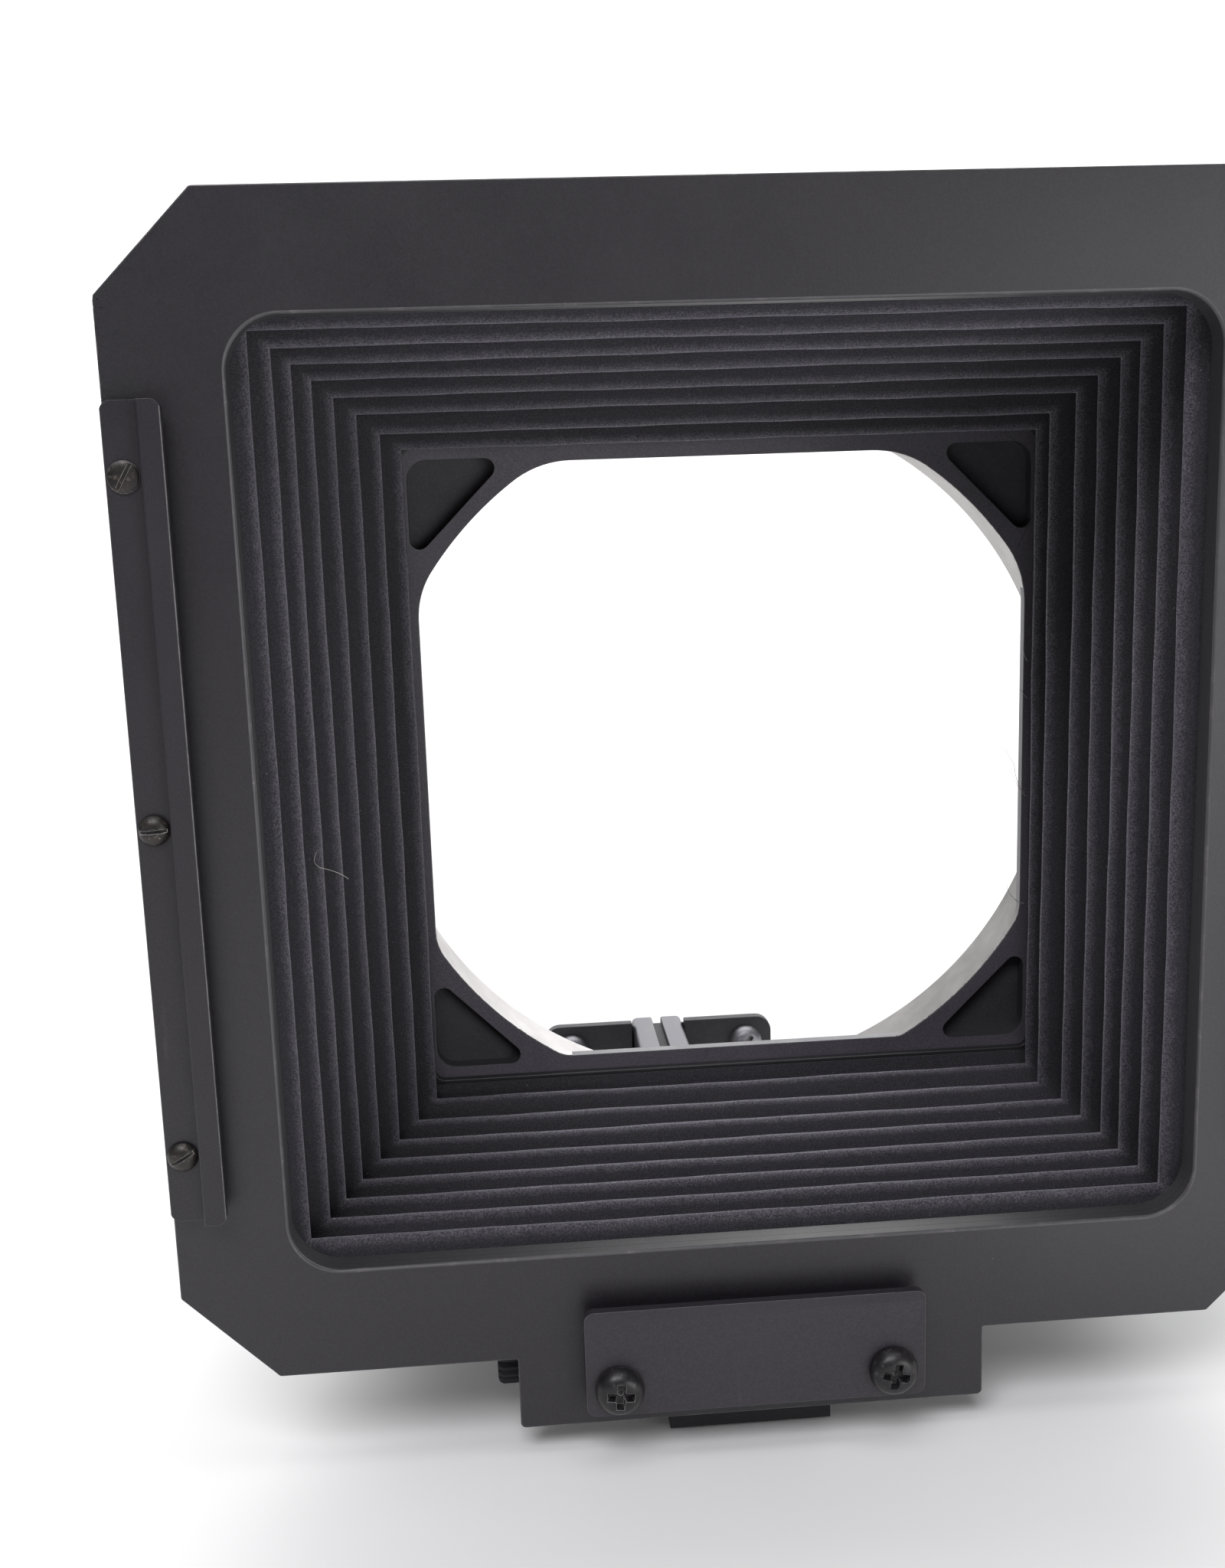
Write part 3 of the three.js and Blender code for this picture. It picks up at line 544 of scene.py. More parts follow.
def arc(cx, cy, r, a0, a1, n):
    return [(cx + r * math.cos(math.radians(a0 + (a1 - a0) * i / n)), cy + r * math.sin(math.radians(a0 + (a1 - a0) * i / n))) for i in range(n + 1)]


def rrect(x0, x1, z0, z1, r, n=8):
    r = max(r, 0.02)
    return (arc(x1 - r, z0 + r, r, -90, 0, n) + arc(x1 - r, z1 - r, r, 0, 90, n)
            + arc(x0 + r, z1 - r, r, 90, 180, n) + arc(x0 + r, z0 + r, r, 180, 270, n))


def fillet(points, radii, n=6):
    """Rounds each corner of a polygon with its own radius."""
    out = []
    m = len(points)
    if isinstance(radii, (int, float)):
        radii = [radii] * m
    for i in range(m):
        p0, p1, p2 = (Vector(points[(i + k) % m]) for k in (-1, 0, 1))
        r = radii[i]
        a, b = (p0 - p1), (p2 - p1)
        la, lb = a.length, b.length
        a, b = a / la, b / lb
        ang = math.acos(max(-1, min(1, a @ b)))
        if r < 1e-3 or ang > math.pi - 0.03:
            out.append(tuple(p1))
            continue
        d = min(r / math.tan(ang / 2), la * 0.48, lb * 0.48)
        r = d * math.tan(ang / 2)
        c = p1 + (a + b).normalized() * (r / math.sin(ang / 2))
        s, e = p1 + a * d, p1 + b * d
        a0, a1 = math.atan2(s.y - c.y, s.x - c.x), math.atan2(e.y - c.y, e.x - c.x)
        while a1 - a0 > math.pi:
            a1 -= 2 * math.pi
        while a1 - a0 < -math.pi:
            a1 += 2 * math.pi
        for k in range(n + 1):
            t = a0 + (a1 - a0) * k / n
            out.append((c.x + r * math.cos(t), c.y + r * math.sin(t)))
    return out


def lathe(name, profile, at, axis="Y", mat=None, n=64, teeth=None, angle=30):
    """Turned body: profile of (radius, height) from pole to pole, at a point, height along
    the axis. teeth = (count, depth, from, to) knurls the rings between two heights."""
    bm = bmesh.new()
    put = AX[axis]
    rings = []
    for r, h in profile:
        if r < 1e-6:
            rings.append([bm.verts.new(place(Vector(at) + Vector(put(0, 0, h))))])
            continue
        ring = []
        for i in range(n):
            t = 2 * math.pi * i / n
            q = r
            if teeth and teeth[2] - 1e-6 <= h <= teeth[3] + 1e-6:
                ph = (t * teeth[0] / (2 * math.pi)) % 1.0
                q = r - teeth[1] * (0.5 + 0.5 * math.cos(2 * math.pi * ph)) ** 1.6
            ring.append(bm.verts.new(place(Vector(at) + Vector(put(q * math.cos(t), q * math.sin(t), h)))))
        rings.append(ring)
    for a, b in zip(rings, rings[1:]):
        for i in range(n):
            j = (i + 1) % n
            if len(a) == 1:
                bm.faces.new((a[0], b[i], b[j]))
            elif len(b) == 1:
                bm.faces.new((a[i], a[j], b[0]))
            else:
                bm.faces.new((a[i], a[j], b[j], b[i]))
    if len(rings[0]) > 1 and len(rings[-1]) > 1:      # the profile closes on itself
        a, b = rings[-1], rings[0]
        for i in range(n):
            j = (i + 1) % n
            bm.faces.new((a[i], a[j], b[j], b[i]))
    return to_object(name, bm, mat, angle)


def applied(ob):
    """Bakes an object's modifiers into its mesh."""
    dg = bpy.context.evaluated_depsgraph_get()
    me = bpy.data.meshes.new_from_object(ob.evaluated_get(dg))
    old = ob.data
    ob.modifiers.clear()
    ob.data = me
    bpy.data.meshes.remove(old)
    return ob


def boolean(ob, others, op="DIFFERENCE", keep=False):
    for other in others:
        m = ob.modifiers.new("b", "BOOLEAN")
        m.operation = op
        m.solver = "MANIFOLD"
        m.object = other
        applied(ob)
    if not keep:
        for other in others:
            bpy.data.objects.remove(other)
    return ob


def clean(ob, merge=2e-6, planar=True):
    bm = bmesh.new()
    bm.from_mesh(ob.data)
    bmesh.ops.remove_doubles(bm, verts=bm.verts, dist=merge)
    if planar:
        bmesh.ops.dissolve_limit(bm, angle_limit=math.radians(1.2), verts=bm.verts, edges=bm.edges)
    bmesh.ops.recalc_face_normals(bm, faces=bm.faces)
    bm.to_mesh(ob.data)
    bm.free()
    return ob


def smooth(ob, angle=38):
    ob.data.polygons.foreach_set("use_smooth", [True] * len(ob.data.polygons))
    ob.data.set_sharp_from_angle(angle=math.radians(angle))
    return ob


def bevelled(ob, width, seg=2, angle=30):
    m = ob.modifiers.new("v", "BEVEL")
    m.width = width * MM
    m.segments = seg
    m.limit_method = "ANGLE"
    m.angle_limit = math.radians(angle)
    m.use_clamp_overlap = True
    m.harden_normals = False
    m.miter_outer = "MITER_ARC"
    if len(ob.data.materials) > 1:
        m.material = 1
    applied(ob)
    smooth(ob, 34)
    w = ob.modifiers.new("n", "WEIGHTED_NORMAL")
    w.keep_sharp = True
    applied(ob)
    return ob


def softened(name, node, width, mat, seg=2, angle=30):
    """A CAD node's own shape with its edges broken as a finished part's are."""
    me = NODES[node].data.copy()
    ob = bpy.data.objects.new(name, me)
    bpy.context.scene.collection.objects.link(ob)
    me.materials.clear()
    me.materials.append(M[mat])
    if mat in EDGED:
        me.materials.append(M[mat + "_edge"])
    ob["mat_key"] = mat
    clean(ob)
    bevelled(ob, width, seg, angle)
    return ob


def also(ob, key):
    """Adds a second finish to a piece and says which slot number it got."""
    ob.data.materials.append(M[key])
    return len(ob.data.materials) - 1


def finish_piece(ob, body, *nodes):
    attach(ob, body)
    if nodes:
        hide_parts(*nodes)
    key = ob.get("mat_key")
    if key:
        del ob["mat_key"]
    return ob


def cylinder(at, r, h0, h1, axis="Y", n=32, r2=None, name="tool"):
    r2 = r if r2 is None else r2
    return lathe(name, [(0, h0), (r, h0), (r2, h1), (0, h1)], at, axis, None, n)


def block(x0, x1, y0, y1, z0, z1, name="tool"):
    bm = bmesh.new()
    m = bmesh.ops.create_cube(bm, size=1.0)
    lo, hi = place((x0, y0, z0)), place((x1, y1, z1))
    for v in m["verts"]:
        v.co = Vector([lo[i] + (v.co[i] + 0.5) * (hi[i] - lo[i]) for i in range(3)])
    return to_object(name, bm, None)


def holes(ob, at, r, h0, h1, axis="Y", n=28):
    """Plain clearance holes, with walls in the piece's own finish."""
    boolean(ob, [cylinder(p, r, h0, h1, axis, n) for p in at])
    for q in ob.data.polygons:
        if ob.data.materials[q.material_index] is None:
            q.material_index = 0


RAIL_SCREW_Z = (36.4, -0.1, -36.6)
STOP_SCREWS = [(-15.8, 0, -67.3), (15.8, 0, -67.3)]

# -------------------------------------------------------------- front plate
pts = [(-PLATE_H, PLATE_H - CHAMFER), (-PLATE_H, -PLATE_H + CHAMFER), (-PLATE_H + CHAMFER, -PLATE_H),
       (-TAB_H, -PLATE_H), (-TAB_H, TAB_Z), (TAB_H, TAB_Z), (TAB_H, -PLATE_H), (PLATE_H - CHAMFER, -PLATE_H),
       (PLATE_H, -PLATE_H + CHAMFER), (PLATE_H, PLATE_H - CHAMFER), (PLATE_H - CHAMFER, PLATE_H), (-PLATE_H + CHAMFER, PLATE_H)]
rad = [0.5, 0.5, 0.5, 0.25, 0.6, 0.6, 0.25, 0.5, 0.5, 0.5, 0.5, 0.5]
outline = fillet(pts, rad, 4)
window = rrect(-WIN_H, WIN_H, -WIN_H, WIN_H, WIN_R, 14)
plate = prism("front_plate_shell", [outline, window], 0, PLATE_T, [(0.14, 0.14), (0.32, 0.0)], "Y", "black_plate", seg=5)
# knocks on the left edge below the upper chamfer
for x, z, r in ((-64.62, 54.05, 0.30), (-64.66, 53.1, 0.24), (-64.64, 51.6, 0.20), (-64.66, 47.9, 0.22)):
    boolean(plate, [lathe("tool", [(0, -r), (r * 0.7, -r * 0.7), (r, 0), (r * 0.7, r * 0.7), (0, r)], (x, 0.1, z), "Y", None, 14)])
for x, z in ((-63.62, 53.02), (-63.98, 53.85)):
    boolean(plate, [lathe("tool", [(0, -0.3), (0.18, -0.3), (0.05, 0.10), (0, 0.12)], (x, 0, z), "Y", None, 12)])
holes(plate, [(sx * 62.6, 0, z) for sx in (-1, 1) for z in RAIL_SCREW_Z], 1.0, -1, 3)
holes(plate, STOP_SCREWS, 1.8, -1, 3)
smooth(plate, 34)
rim_highlight_slot, wall = also(plate, "window_rim_wear_and_highlight"), also(plate, "window_wall")
# the window's front bevel takes a lighter finish: worn edge and painted highlight
for q in plate.data.polygons:
    c_ = q.center / MM - SHIFT
    if q.material_index == 1 and max(abs(c_.x), abs(c_.z)) < WIN_H + 1.5:
        q.material_index = rim_highlight_slot
    elif abs(q.normal.y) < 0.3 and max(abs(c_.x), abs(c_.z)) < WIN_H + 0.1:
        q.material_index = wall
finish_piece(plate, "front", "front_plate")

wf = prism("window_frame_ring", [rrect(-57.5, 57.5, -57.5, 57.5, 8.7, 10), window], 1.53, 3.3, [(0.1, 0.1), (0.0, 0.2)], "Y", "black_plate")
wall = also(wf, "window_wall")
for q in wf.data.polygons:
    c_ = q.center / MM - SHIFT
    if abs(q.normal.y) < 0.9 and max(abs(c_.x), abs(c_.z)) < WIN_H + 0.3:
        q.material_index = wall
finish_piece(wf, "front", "window_frame")

fc = prism("front_clamp_ring", [rrect(-57.5, 57.5, -57.5, 57.5, 1.5, 6), rrect(-55.2, 55.2, -55.2, 55.2, 0.4, 4)], 4.5, 5.7, 0.12, "Y", "black_moulded")
finish_piece(fc, "front", "bellows_front_clamp")

# ---------------------------------------------------------- side mask rails
RAIL_Z = (-44.2, 44.0)
for side, sx in (("left", -1), ("right", 1)):
    # section: screwed foot, web and raised lip, with rounded bends
    sec = [(64.5, -0.25), (59.6, -0.25), (59.6, -1.9), (58.2, -1.9), (58.2, -3.0), (60.7, -3.0), (60.7, -1.35), (64.5, -1.35)]
    srad = [0.14, 0.08, 0.1, 0.12, 0.19, 0.35, 0.2, 0.14]
    sec = fillet([(sx * x, y) for x, y in sec], srad, 4)
    rail = prism(f"mask_rail_{side}_bar", [sec], RAIL_Z[0], RAIL_Z[1], 0.0, "Z", "black_rail", seg=3)
    # the ends of the foot and of the lip are rounded off, seen from the front
    x_in, x_out = sorted((sx * 58.15, sx * 64.55))
    form = rrect(x_in, x_out, RAIL_Z[0] - 0.04, RAIL_Z[1] + 0.04, 1.25, 8)
    boolean(rail, [prism("tool", [form], -5, 1, 0.0, "Y", None)], "INTERSECT")
    holes(rail, [(sx * 62.6, 0, z) for z in RAIL_SCREW_Z], 1.0, -3, 1)
    bevelled(clean(rail), 0.09, 2, 40)
    # the front-facing rounded outer edges and the lip's edge take the lighter edge finish: worn edge and painted
    # highlight
    for q in rail.data.polygons:
        c_ = q.center / MM - SHIFT
        outer = abs(c_.x) > 64.3 or (abs(c_.x) < 58.4 and c_.y < -2.8)
        if outer and abs(q.normal.z) < 0.35 and abs(q.normal.x) > 0.22 and q.normal.y < -0.22:
            q.material_index = 1
    finish_piece(rail, "front", f"mask_rail_{side}")
    for i, z in enumerate(RAIL_SCREW_Z):
        y = -1.55
        # domed slotted head
        top = (0.32, 0.9, 0.9)[i]
        head = lathe(f"rail_screw_{side}_{i + 1}_head", [(0, y - top), (0.55, y - top * 0.97), (1.0, y - top * 0.83), (1.35, y - top * 0.58), (1.58, y - top * 0.32),
                     (1.65, y - top * 0.16), (1.65, y - 0.02), (1.6, y), (0.8, y), (0.8, 1.5), (0, 1.5)], (sx * 62.6, 0, z), "Y", "worn_screw", 48)
        slot = block(-2.5, 2.5, y - 1.6, y - top * 0.5, -0.2, 0.2)
        rot = Matrix.Translation(place((sx * 62.6, 0, z))) @ Matrix.Rotation(-[1.05, 0.05, 0.5][i], 4, "Y") @ Matrix.Translation(-place((0, 0, 0)))
        slot.data.transform(rot)
        boolean(head, [slot])
        bevelled(clean(head, planar=False), 0.045, 2, 34)
        finish_piece(head, "front", f"rail_screw_{side}_{i + 1}")

# --------------------------------------------------------- lower mask stop
# a folded strip: the slot behind its upper part takes the mask, and the lip leans out
stop = prism("mask_stop_plate", [[(-0.25, -70.7), (-2.9, -70.7), (-2.9, -59.05), (-3.3, -57.6), (-2.2, -57.6), (-1.8, -59.05), (-1.8, -60.8), (-0.25, -60.8)]],
             -19.65, 19.65, 0.0, "X", "black_rail", seg=3)
boolean(stop, [prism("tool", [rrect(-19.6, 19.6, -70.68, -57.62, 1.2, 8)], -6, 2, 0.0, "Y", None)], "INTERSECT")
holes(stop, STOP_SCREWS, 1.8, -5, 1)
# its rounded edges take the rails' lighter edge finish: worn edge and painted highlight
bevelled(clean(stop), 0.13, 2, 40)
stop.data.materials[0] = M["black_stop"]
finish_piece(stop, "front", "mask_stop")


def pan_screw(name, x, z, y_face, length, mat, body, node, turn=0.0, sy=1):
    """Pan head with a cross recess, head towards -Y."""
    p = [(0, -1.9), (0.6, -1.895), (1.2, -1.86), (1.7, -1.76), (2.1, -1.58), (2.42, -1.3), (2.64, -0.95), (2.77, -0.55), (2.8, -0.3), (2.8, -0.08), (2.74, 0),
         (1.5, 0), (1.5, length - 0.25), (1.25, length), (0, length)]
    ob = lathe(name, [(r, y_face + h) for r, h in p], (x, 0, z), "Y", mat, 72)
    for k in range(2):
        # wings narrow and taper towards the bottom of the recess
        bm = bmesh.new()
        top, bot = y_face - 2.4, y_face - 0.75
        for w, l, y in ((0.54, 1.72, top), (0.38, 1.3, bot)):
            for u, v in ((-l, -w), (l, -w), (l, w), (-l, w)):
                bm.verts.new(Vector((u, y, v)))
        bm.verts.ensure_lookup_table()
        v = bm.verts
        for f in ((0, 1, 2, 3), (7, 6, 5, 4), (0, 4, 5, 1), (1, 5, 6, 2), (2, 6, 7, 3), (3, 7, 4, 0)):
            bm.faces.new([v[i] for i in f])
        rot = Matrix.Rotation(turn + k * math.pi / 2, 4, "Y")
        for q in v:
            q.co = place(rot @ q.co + Vector((x, 0, z)))
        boolean(ob, [to_object("tool", bm, None)])
    # the point of the driver leaves a small cone in the middle
    boolean(ob, [lathe("tool", [(0, y_face - 2.4), (0.95, y_face - 2.4), (0.6, y_face - 1.0), (0, y_face - 0.45)], (x, 0, z), "Y", None, 32)])
    bevelled(clean(ob, planar=False), 0.05, 2, 34)
    return finish_piece(ob, body, node)


pan_screw("mask_stop_screw_left_head", -15.8, -67.3, -3.1, 9.4, "black_screw", "front", "mask_stop_screw_left", 0.08)
pan_screw("mask_stop_screw_right_head", 15.8, -67.3, -3.1, 9.4, "black_screw", "front", "mask_stop_screw_right", 0.2)

# -------------------------------------------------- carriage, keeper, knob
finish_piece(softened("front_carriage_block", "front_carriage", 0.3, "black_moulded"), "front", "front_carriage")
# the keeper gets the darkest dull finish: painted shade standing in for the shadow under the tab
finish_piece(softened("rail_keeper_plate", "rail_keeper", 0.2, "black_dull"), "front", "rail_keeper")
LY, LZ, LX0, LX1 = 8.6, -65.2, -29.6, -22.4
knob = lathe("lock_knob_grip", [(0, LX0 + 0.7), (3.3, LX0 + 0.7), (3.6, LX0 + 0.45), (3.75, LX0 + 0.15), (4.0, LX0), (5.6, LX0), (5.9, LX0 + 0.08), (6.15, LX0 + 0.3), (6.3, LX0 + 0.65),
              (6.3, LX0 + 2.6), (6.3, LX0 + 4.5), (6.15, LX0 + 4.9), (5.9, LX0 + 5.12), (5.6, LX0 + 5.2), (4.4, LX0 + 5.2), (4.2, LX0 + 5.4), (4.2, LX1 + 0.1), (4.0, LX1 + 0.3), (1.8, LX1 + 0.3), (1.8, LX0 + 2.2), (0, LX0 + 2.2)],
             (0, LY, LZ), "X", "black_plate", 180, (30, 0.5, LX0 + 0.3, LX0 + 4.9), 34)
knob.data.materials[0] = M["black_dull"]
knob["mat_key"] = "black_dull"
finish_piece(knob, "lock", "lock_knob")
shank = lathe("lock_screw_shank", [(0, LX0 + 2.5), (1.3, LX0 + 2.5), (1.5, LX0 + 2.7), (1.5, -7.7), (1.2, -7.4), (0, -7.4)], (0, LY, LZ), "X", "rail_metal", 40)
finish_piece(shank, "lock", "lock_screw")
for side, sx in (("left", -1), ("right", 1)):
    z0 = -76.1
    ks = lathe(f"keeper_screw_{side}_head", [(0, z0), (1.85, z0), (2.0, z0 + 0.15), (2.0, z0 + 1.0), (1.9, z0 + 1.1), (1.1, z0 + 1.1), (1.1, -67.9), (0, -67.9)], (sx * 7.2, 7.7, 0), "Z", "black_screw", 40)
    slot = block(-2.6, 2.6, -0.25, 0.25, z0 - 0.5, z0 + 0.5)
    slot.data.transform(Matrix.Translation(place((sx * 7.2, 7.7, 0))) @ Matrix.Rotation(0.6 * sx, 4, "Z") @ Matrix.Translation(-place((0, 0, 0))))
    boolean(ks, [slot])
    bevelled(clean(ks, planar=False), 0.04, 2, 34)
    finish_piece(ks, "front", f"keeper_screw_{side}")

# ------------------------------------------------------------------ bellows
# half widths of the inner folds, as x from/to and z from/to, front to back
RIDGE = [(-50.47, 50.58, -51.09, 50.93), (-48.94, 51.02, -52.16, 49.53), (-47.62, 51.30, -53.14, 48.16), (-46.09, 51.74, -53.96, 46.64),
         (-44.20, 51.65, -54.50, 44.84), (-42.03, 51.47, -54.98, 42.93), (-39.62, 50.50, -55.23, 40.51), (-37.2, 51.01, -55.02, 38.44)]
FOLD_Y0, PITCH = 6.5, 7.3


def bellows():
    rnd = random.Random(7)
    cloth = 0.55
    prof = []      # (y, x0, x1, z0, z1, is_ridge)

    def centre(y):
        return REAR_C[0] * y / REAR_Y, REAR_C[1] * y / REAR_Y

    def sq(y, w, h=None):
        cx, cz = centre(y)
        h = w if h is None else h
        return (y, cx - w, cx + w, cz - h, cz + h)

    keys = [sq(3.65, 56.2), sq(3.75, 53.7), sq(4.3, 53.7)]
    for i, (x0, x1, z0, z1) in enumerate(RIDGE):
        y = FOLD_Y0 + PITCH * i
        keys.append((y, x0, x1, z0, z1))
        t = (y + PITCH / 2) / REAR_Y
        out = 57.2 + (51.4 - 57.2) * t - 0.6
        keys.append(sq(y + PITCH / 2 if i < 7 else y + 2.6, out))
    keys.append(sq(62.1, 45.9, 47.0))
    keys.append(sq(63.0, 46.1, 47.2))      # the end is glued to the rear clamp
    return keys


def cloth_surface(name, keys, thick, mat):
    """Sweeps the fold line round the four sides: folds are rounded, corners mitred, and the
    cloth wanders a little between its corners."""
    # resample the fold line with rounded turns that still reach the ridge's own line
    want = [np.array(k, float) for k in keys]
    n = len(want)
    share = [0.0] * n
    for i in range(3, n - 2):
        share[i] = 0.44 if (i - 3) % 2 == 0 else 0.26
    share[2] = 0.2
    K = [k.copy() for k in want]
    for _ in range(12):
        for i in range(3, n - 1):
            r = share[i]
            K[i] = (want[i] - r / 4 * (K[i - 1] + K[i + 1])) / (1 - r / 2)
            K[i][0] = want[i][0]
    line = []
    for i, k in enumerate(K):
        if share[i] == 0:
            line.append(k)
            continue
        s, e = k + (K[i - 1] - k) * share[i], k + (K[i + 1] - k) * share[i]
        for t in np.linspace(0, 1, 9 if share[i] > 0.4 else 6):
            line.append((1 - t) ** 2 * s + 2 * t * (1 - t) * k + t * t * e)
        if i < n - 2:
            e2 = K[i + 1] + (k - K[i + 1]) * share[i + 1]
            line.append((e + e2) / 2)
    # how near each line point is to the tip of an inner fold, which is where the cloth rubs and where the painted
    # ridge highlight goes
    near = []
    for p in line:
        best = 0.0
        for i in range(3, n - 1, 2):
            if i in (3, 5, 7, 9, 11, 13, 15, 17):
                d = math.hypot(p[0] - want[i][0], ((abs(p[1] - want[i][1]) + abs(p[2] - want[i][2]) + abs(p[3] - want[i][3]) + abs(p[4] - want[i][4])) / 4))
                best = max(best, 1.0 - d / 2.5)
        near.append(max(0.0, best))
    side = 44
    bm = bmesh.new()
    rnd = np.random.RandomState(11)
    phases = rnd.rand(64, 4) * 6.283
    amps = 0.10 + 0.10 * rnd.rand(64)
    rings = []
    for li, (y, x0, x1, z0, z1) in enumerate(line):
        ring = []
        corners = ((x0, z0), (x1, z0), (x1, z1), (x0, z1))
        for c in range(4):
            (ax, az), (bx, bz) = corners[c], corners[(c + 1) % 4]
            nx, nz = (0, 1) if c == 0 else (-1, 0) if c == 1 else (0, -1) if c == 2 else (1, 0)
            fold = y / PITCH
            k = int(min(63, max(0, round(fold * 2))))
            for s in range(side):
                t = s / side
                # the points stay evenly spaced: the line below that would set them closer to the corners is switched
                # off
                t = 0.5 - 0.5 * math.cos(math.pi * t) if False else t
                env = min(1.0, min(t, 1 - t) * 9)
                wob = 0.0
                if 6 < y < 60:
                    wob = env * 0.6 * (0.07 * math.sin(6.283 * 1.3 * t + fold * 1.7 + c) + 0.06 * math.sin(6.283 * 3.7 * t + fold * 2.9 + 2 * c)
                                 + 0.035 * math.sin(6.283 * 9.1 * t + fold * 4.1 + 3 * c))
                bow = 0.1 * math.sin(math.pi * t) if 6 < y < 60 else 0.0
                x = ax + (bx - ax) * t + nx * (wob - bow * 0.4)
                z = az + (bz - az) * t + nz * (wob - bow * 0.4)
                yy = y + (env * 0.06 * math.sin(6.283 * 2.1 * t + fold * 2.3 + c) if 6 < y < 60 else 0)
                ring.append((x, yy, z))
        rings.append(ring)
    m = len(rings[0])

    def corner_offset(i, ring, d):
        # outwards by d, in the plane of the ring
        s = i % side
        c = i // side
        x, y, z = ring[i]
        nx, nz = ((0, -1), (1, 0), (0, 1), (-1, 0))[c]
        if s == 0:
            px, pz = ((0, -1), (1, 0), (0, 1), (-1, 0))[(c - 1) % 4]
            nx, nz = nx + px, nz + pz
        return (x + nx * d, y, z + nz * d)

    inner = [[bm.verts.new(place(p)) for p in ring] for ring in rings]
    outer = [[bm.verts.new(place(corner_offset(i, ring, thick))) for i in range(m)] for ring in rings]
    for a, b, flip in [(inner, inner, 0), (outer, outer, 1)]:
        for r0, r1 in zip(a, a[1:]):
            for i in range(m):
                j = (i + 1) % m
                bm.faces.new((r0[i], r0[j], r1[j], r1[i]))
    for r0, r1 in ((inner[0], outer[0]), (inner[-1], outer[-1])):
        for i in range(m):
            j = (i + 1) % m
            bm.faces.new((r0[i], r0[j], r1[j], r1[i]))
    ob = to_object(name, bm, mat, 70)
    # the closeness to the fold tips drives the cloth's lighter ridges: rubbed cloth and painted highlight
    fold_attr = ob.data.attributes.new("fold", "FLOAT", "POINT")
    fold_attr.data.foreach_set("value", [v for v in near for _ in range(m)] * 2)
    # developed length of the fold line on the four sides, for the flat size
    L = []
    for idx in (1, 2, 3, 4):
        L.append(sum(math.hypot(b[0] - a[0], b[idx] - a[idx]) for a, b in zip(line, line[1:])))
    per = sum(2 * ((k[2] - k[1]) + (k[4] - k[3])) for k in line) / len(line)
    return ob, sum(L) / 4, per


keys = bellows()
cloth, developed, girth = cloth_surface("bellows_cloth_skin", keys, 0.55, "bellows_cloth")
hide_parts("bellows")
if "mat_key" in cloth:
    del cloth["mat_key"]
bm = bmesh.new()
bm.from_mesh(cloth.data)
total = sum(f.calc_area() for f in bm.faces) / 2
bm.free()
print("BELLOWS developed", developed, "girth", girth, "area_m2", total, "per", total / (developed * MM * girth * MM))

# --------------------------------------------------------------- rear frame
cx, cz = REAR_C


def clipped_bore(h, r, fil, n=20):
    """Square clipped by the bore circle. fil gives how far each of the eight turns between
    flat and arc is rounded, from the right flat's upper end anticlockwise."""
    t = math.degrees(math.acos(h / r))
    out = []
    turn = {}
    for q in range(4):
        turn[len(out)] = fil[2 * q]
        out += arc(cx, cz, r, q * 90 + t, q * 90 + 90 - t, n)
        turn[len(out) - 1] = fil[2 * q + 1]
    m = len(out)
    res = []
    for i, p in enumerate(out):
        if i not in turn:
            res.append(p)
            continue
        P = Vector(p)
        # walk both ways by the wanted distance, along the arc on one side
        ends = []
        for step in (-1, 1):
            a, left, j = P, turn[i], i
            while True:
                nxt = Vector(out[(j + step) % m])
                d = (nxt - a).length
                if d >= left:
                    ends.append((a + (nxt - a) * (left / d), abs(j - i)))
                    break
                left -= d
                a, j = nxt, j + step
        (s0, skip_a), (e0, skip_b) = ends
        for _ in range(skip_a):
            res.pop()
        for k in range(9):
            u = k / 8
            w = s0 * (1 - u) ** 2 + P * 2 * u * (1 - u) + e0 * u * u
            res.append((w.x, w.y))
        for k in range(skip_b):
            out[(i + 1 + k) % m] = None
    return [p for p in res if p is not None]


aperture = clipped_bore(APER_H, BORE_R, [4.2, 4.2, 4.2, 3.6, 2.2, 1.2, 0.7, 1.6])
base = prism("rear_frame_casting", [rrect(cx - REAR_H, cx + REAR_H, cz - REAR_H, cz + REAR_H, 3, 8), aperture], REAR_Y, REAR_Y + REAR_T, [(0.2, 0.2), (0.10, 0.04)], "Y", "frame_grey", seg=3)
bore_seg = 40
for qx in (-1, 1):
    for qz in (-1, 1):
        o = REAR_H - 2.2
        gx, gz = (GAP if qz > 0 else GAP_LOW), GAP
        # outline: a square corner minus the bore, from the end of one side to that of the other
        a0, a1 = math.degrees(math.acos(gx / BORE_R)), math.degrees(math.asin(gz / BORE_R))
        ring = [(BORE_R * math.cos(math.radians(a)), BORE_R * math.sin(math.radians(a))) for a in np.linspace(a0, a1, bore_seg)]
        shape = [(gx, o)] + ring + [(o, gz)] + arc(o - 3, o - 3, 3, 0, 90, 6)
        shape = [(cx + qx * u, cz + qz * v) for u, v in shape]
        boss = prism("tool", [shape], REAR_Y + REAR_T - 0.6, BOSS_Y, (0.0, 0.3), "Y", None, seg=3)
        boolean(base, [boss], "UNION")
for qx in (-1, 1):
    for qz in (-1, 1):
        o, l = 44.9, 30.5
        poly = fillet([(o, l), (o, o), (l, o)], [1.4, 2.8, 1.4], 6)
        poly = [(cx + qx * a, cz + qz * b) for a, b in poly]
        boolean(base, [prism("tool", [poly], REAR_Y - 1, REAR_Y + 2.5, 0.0, "Y", None)])
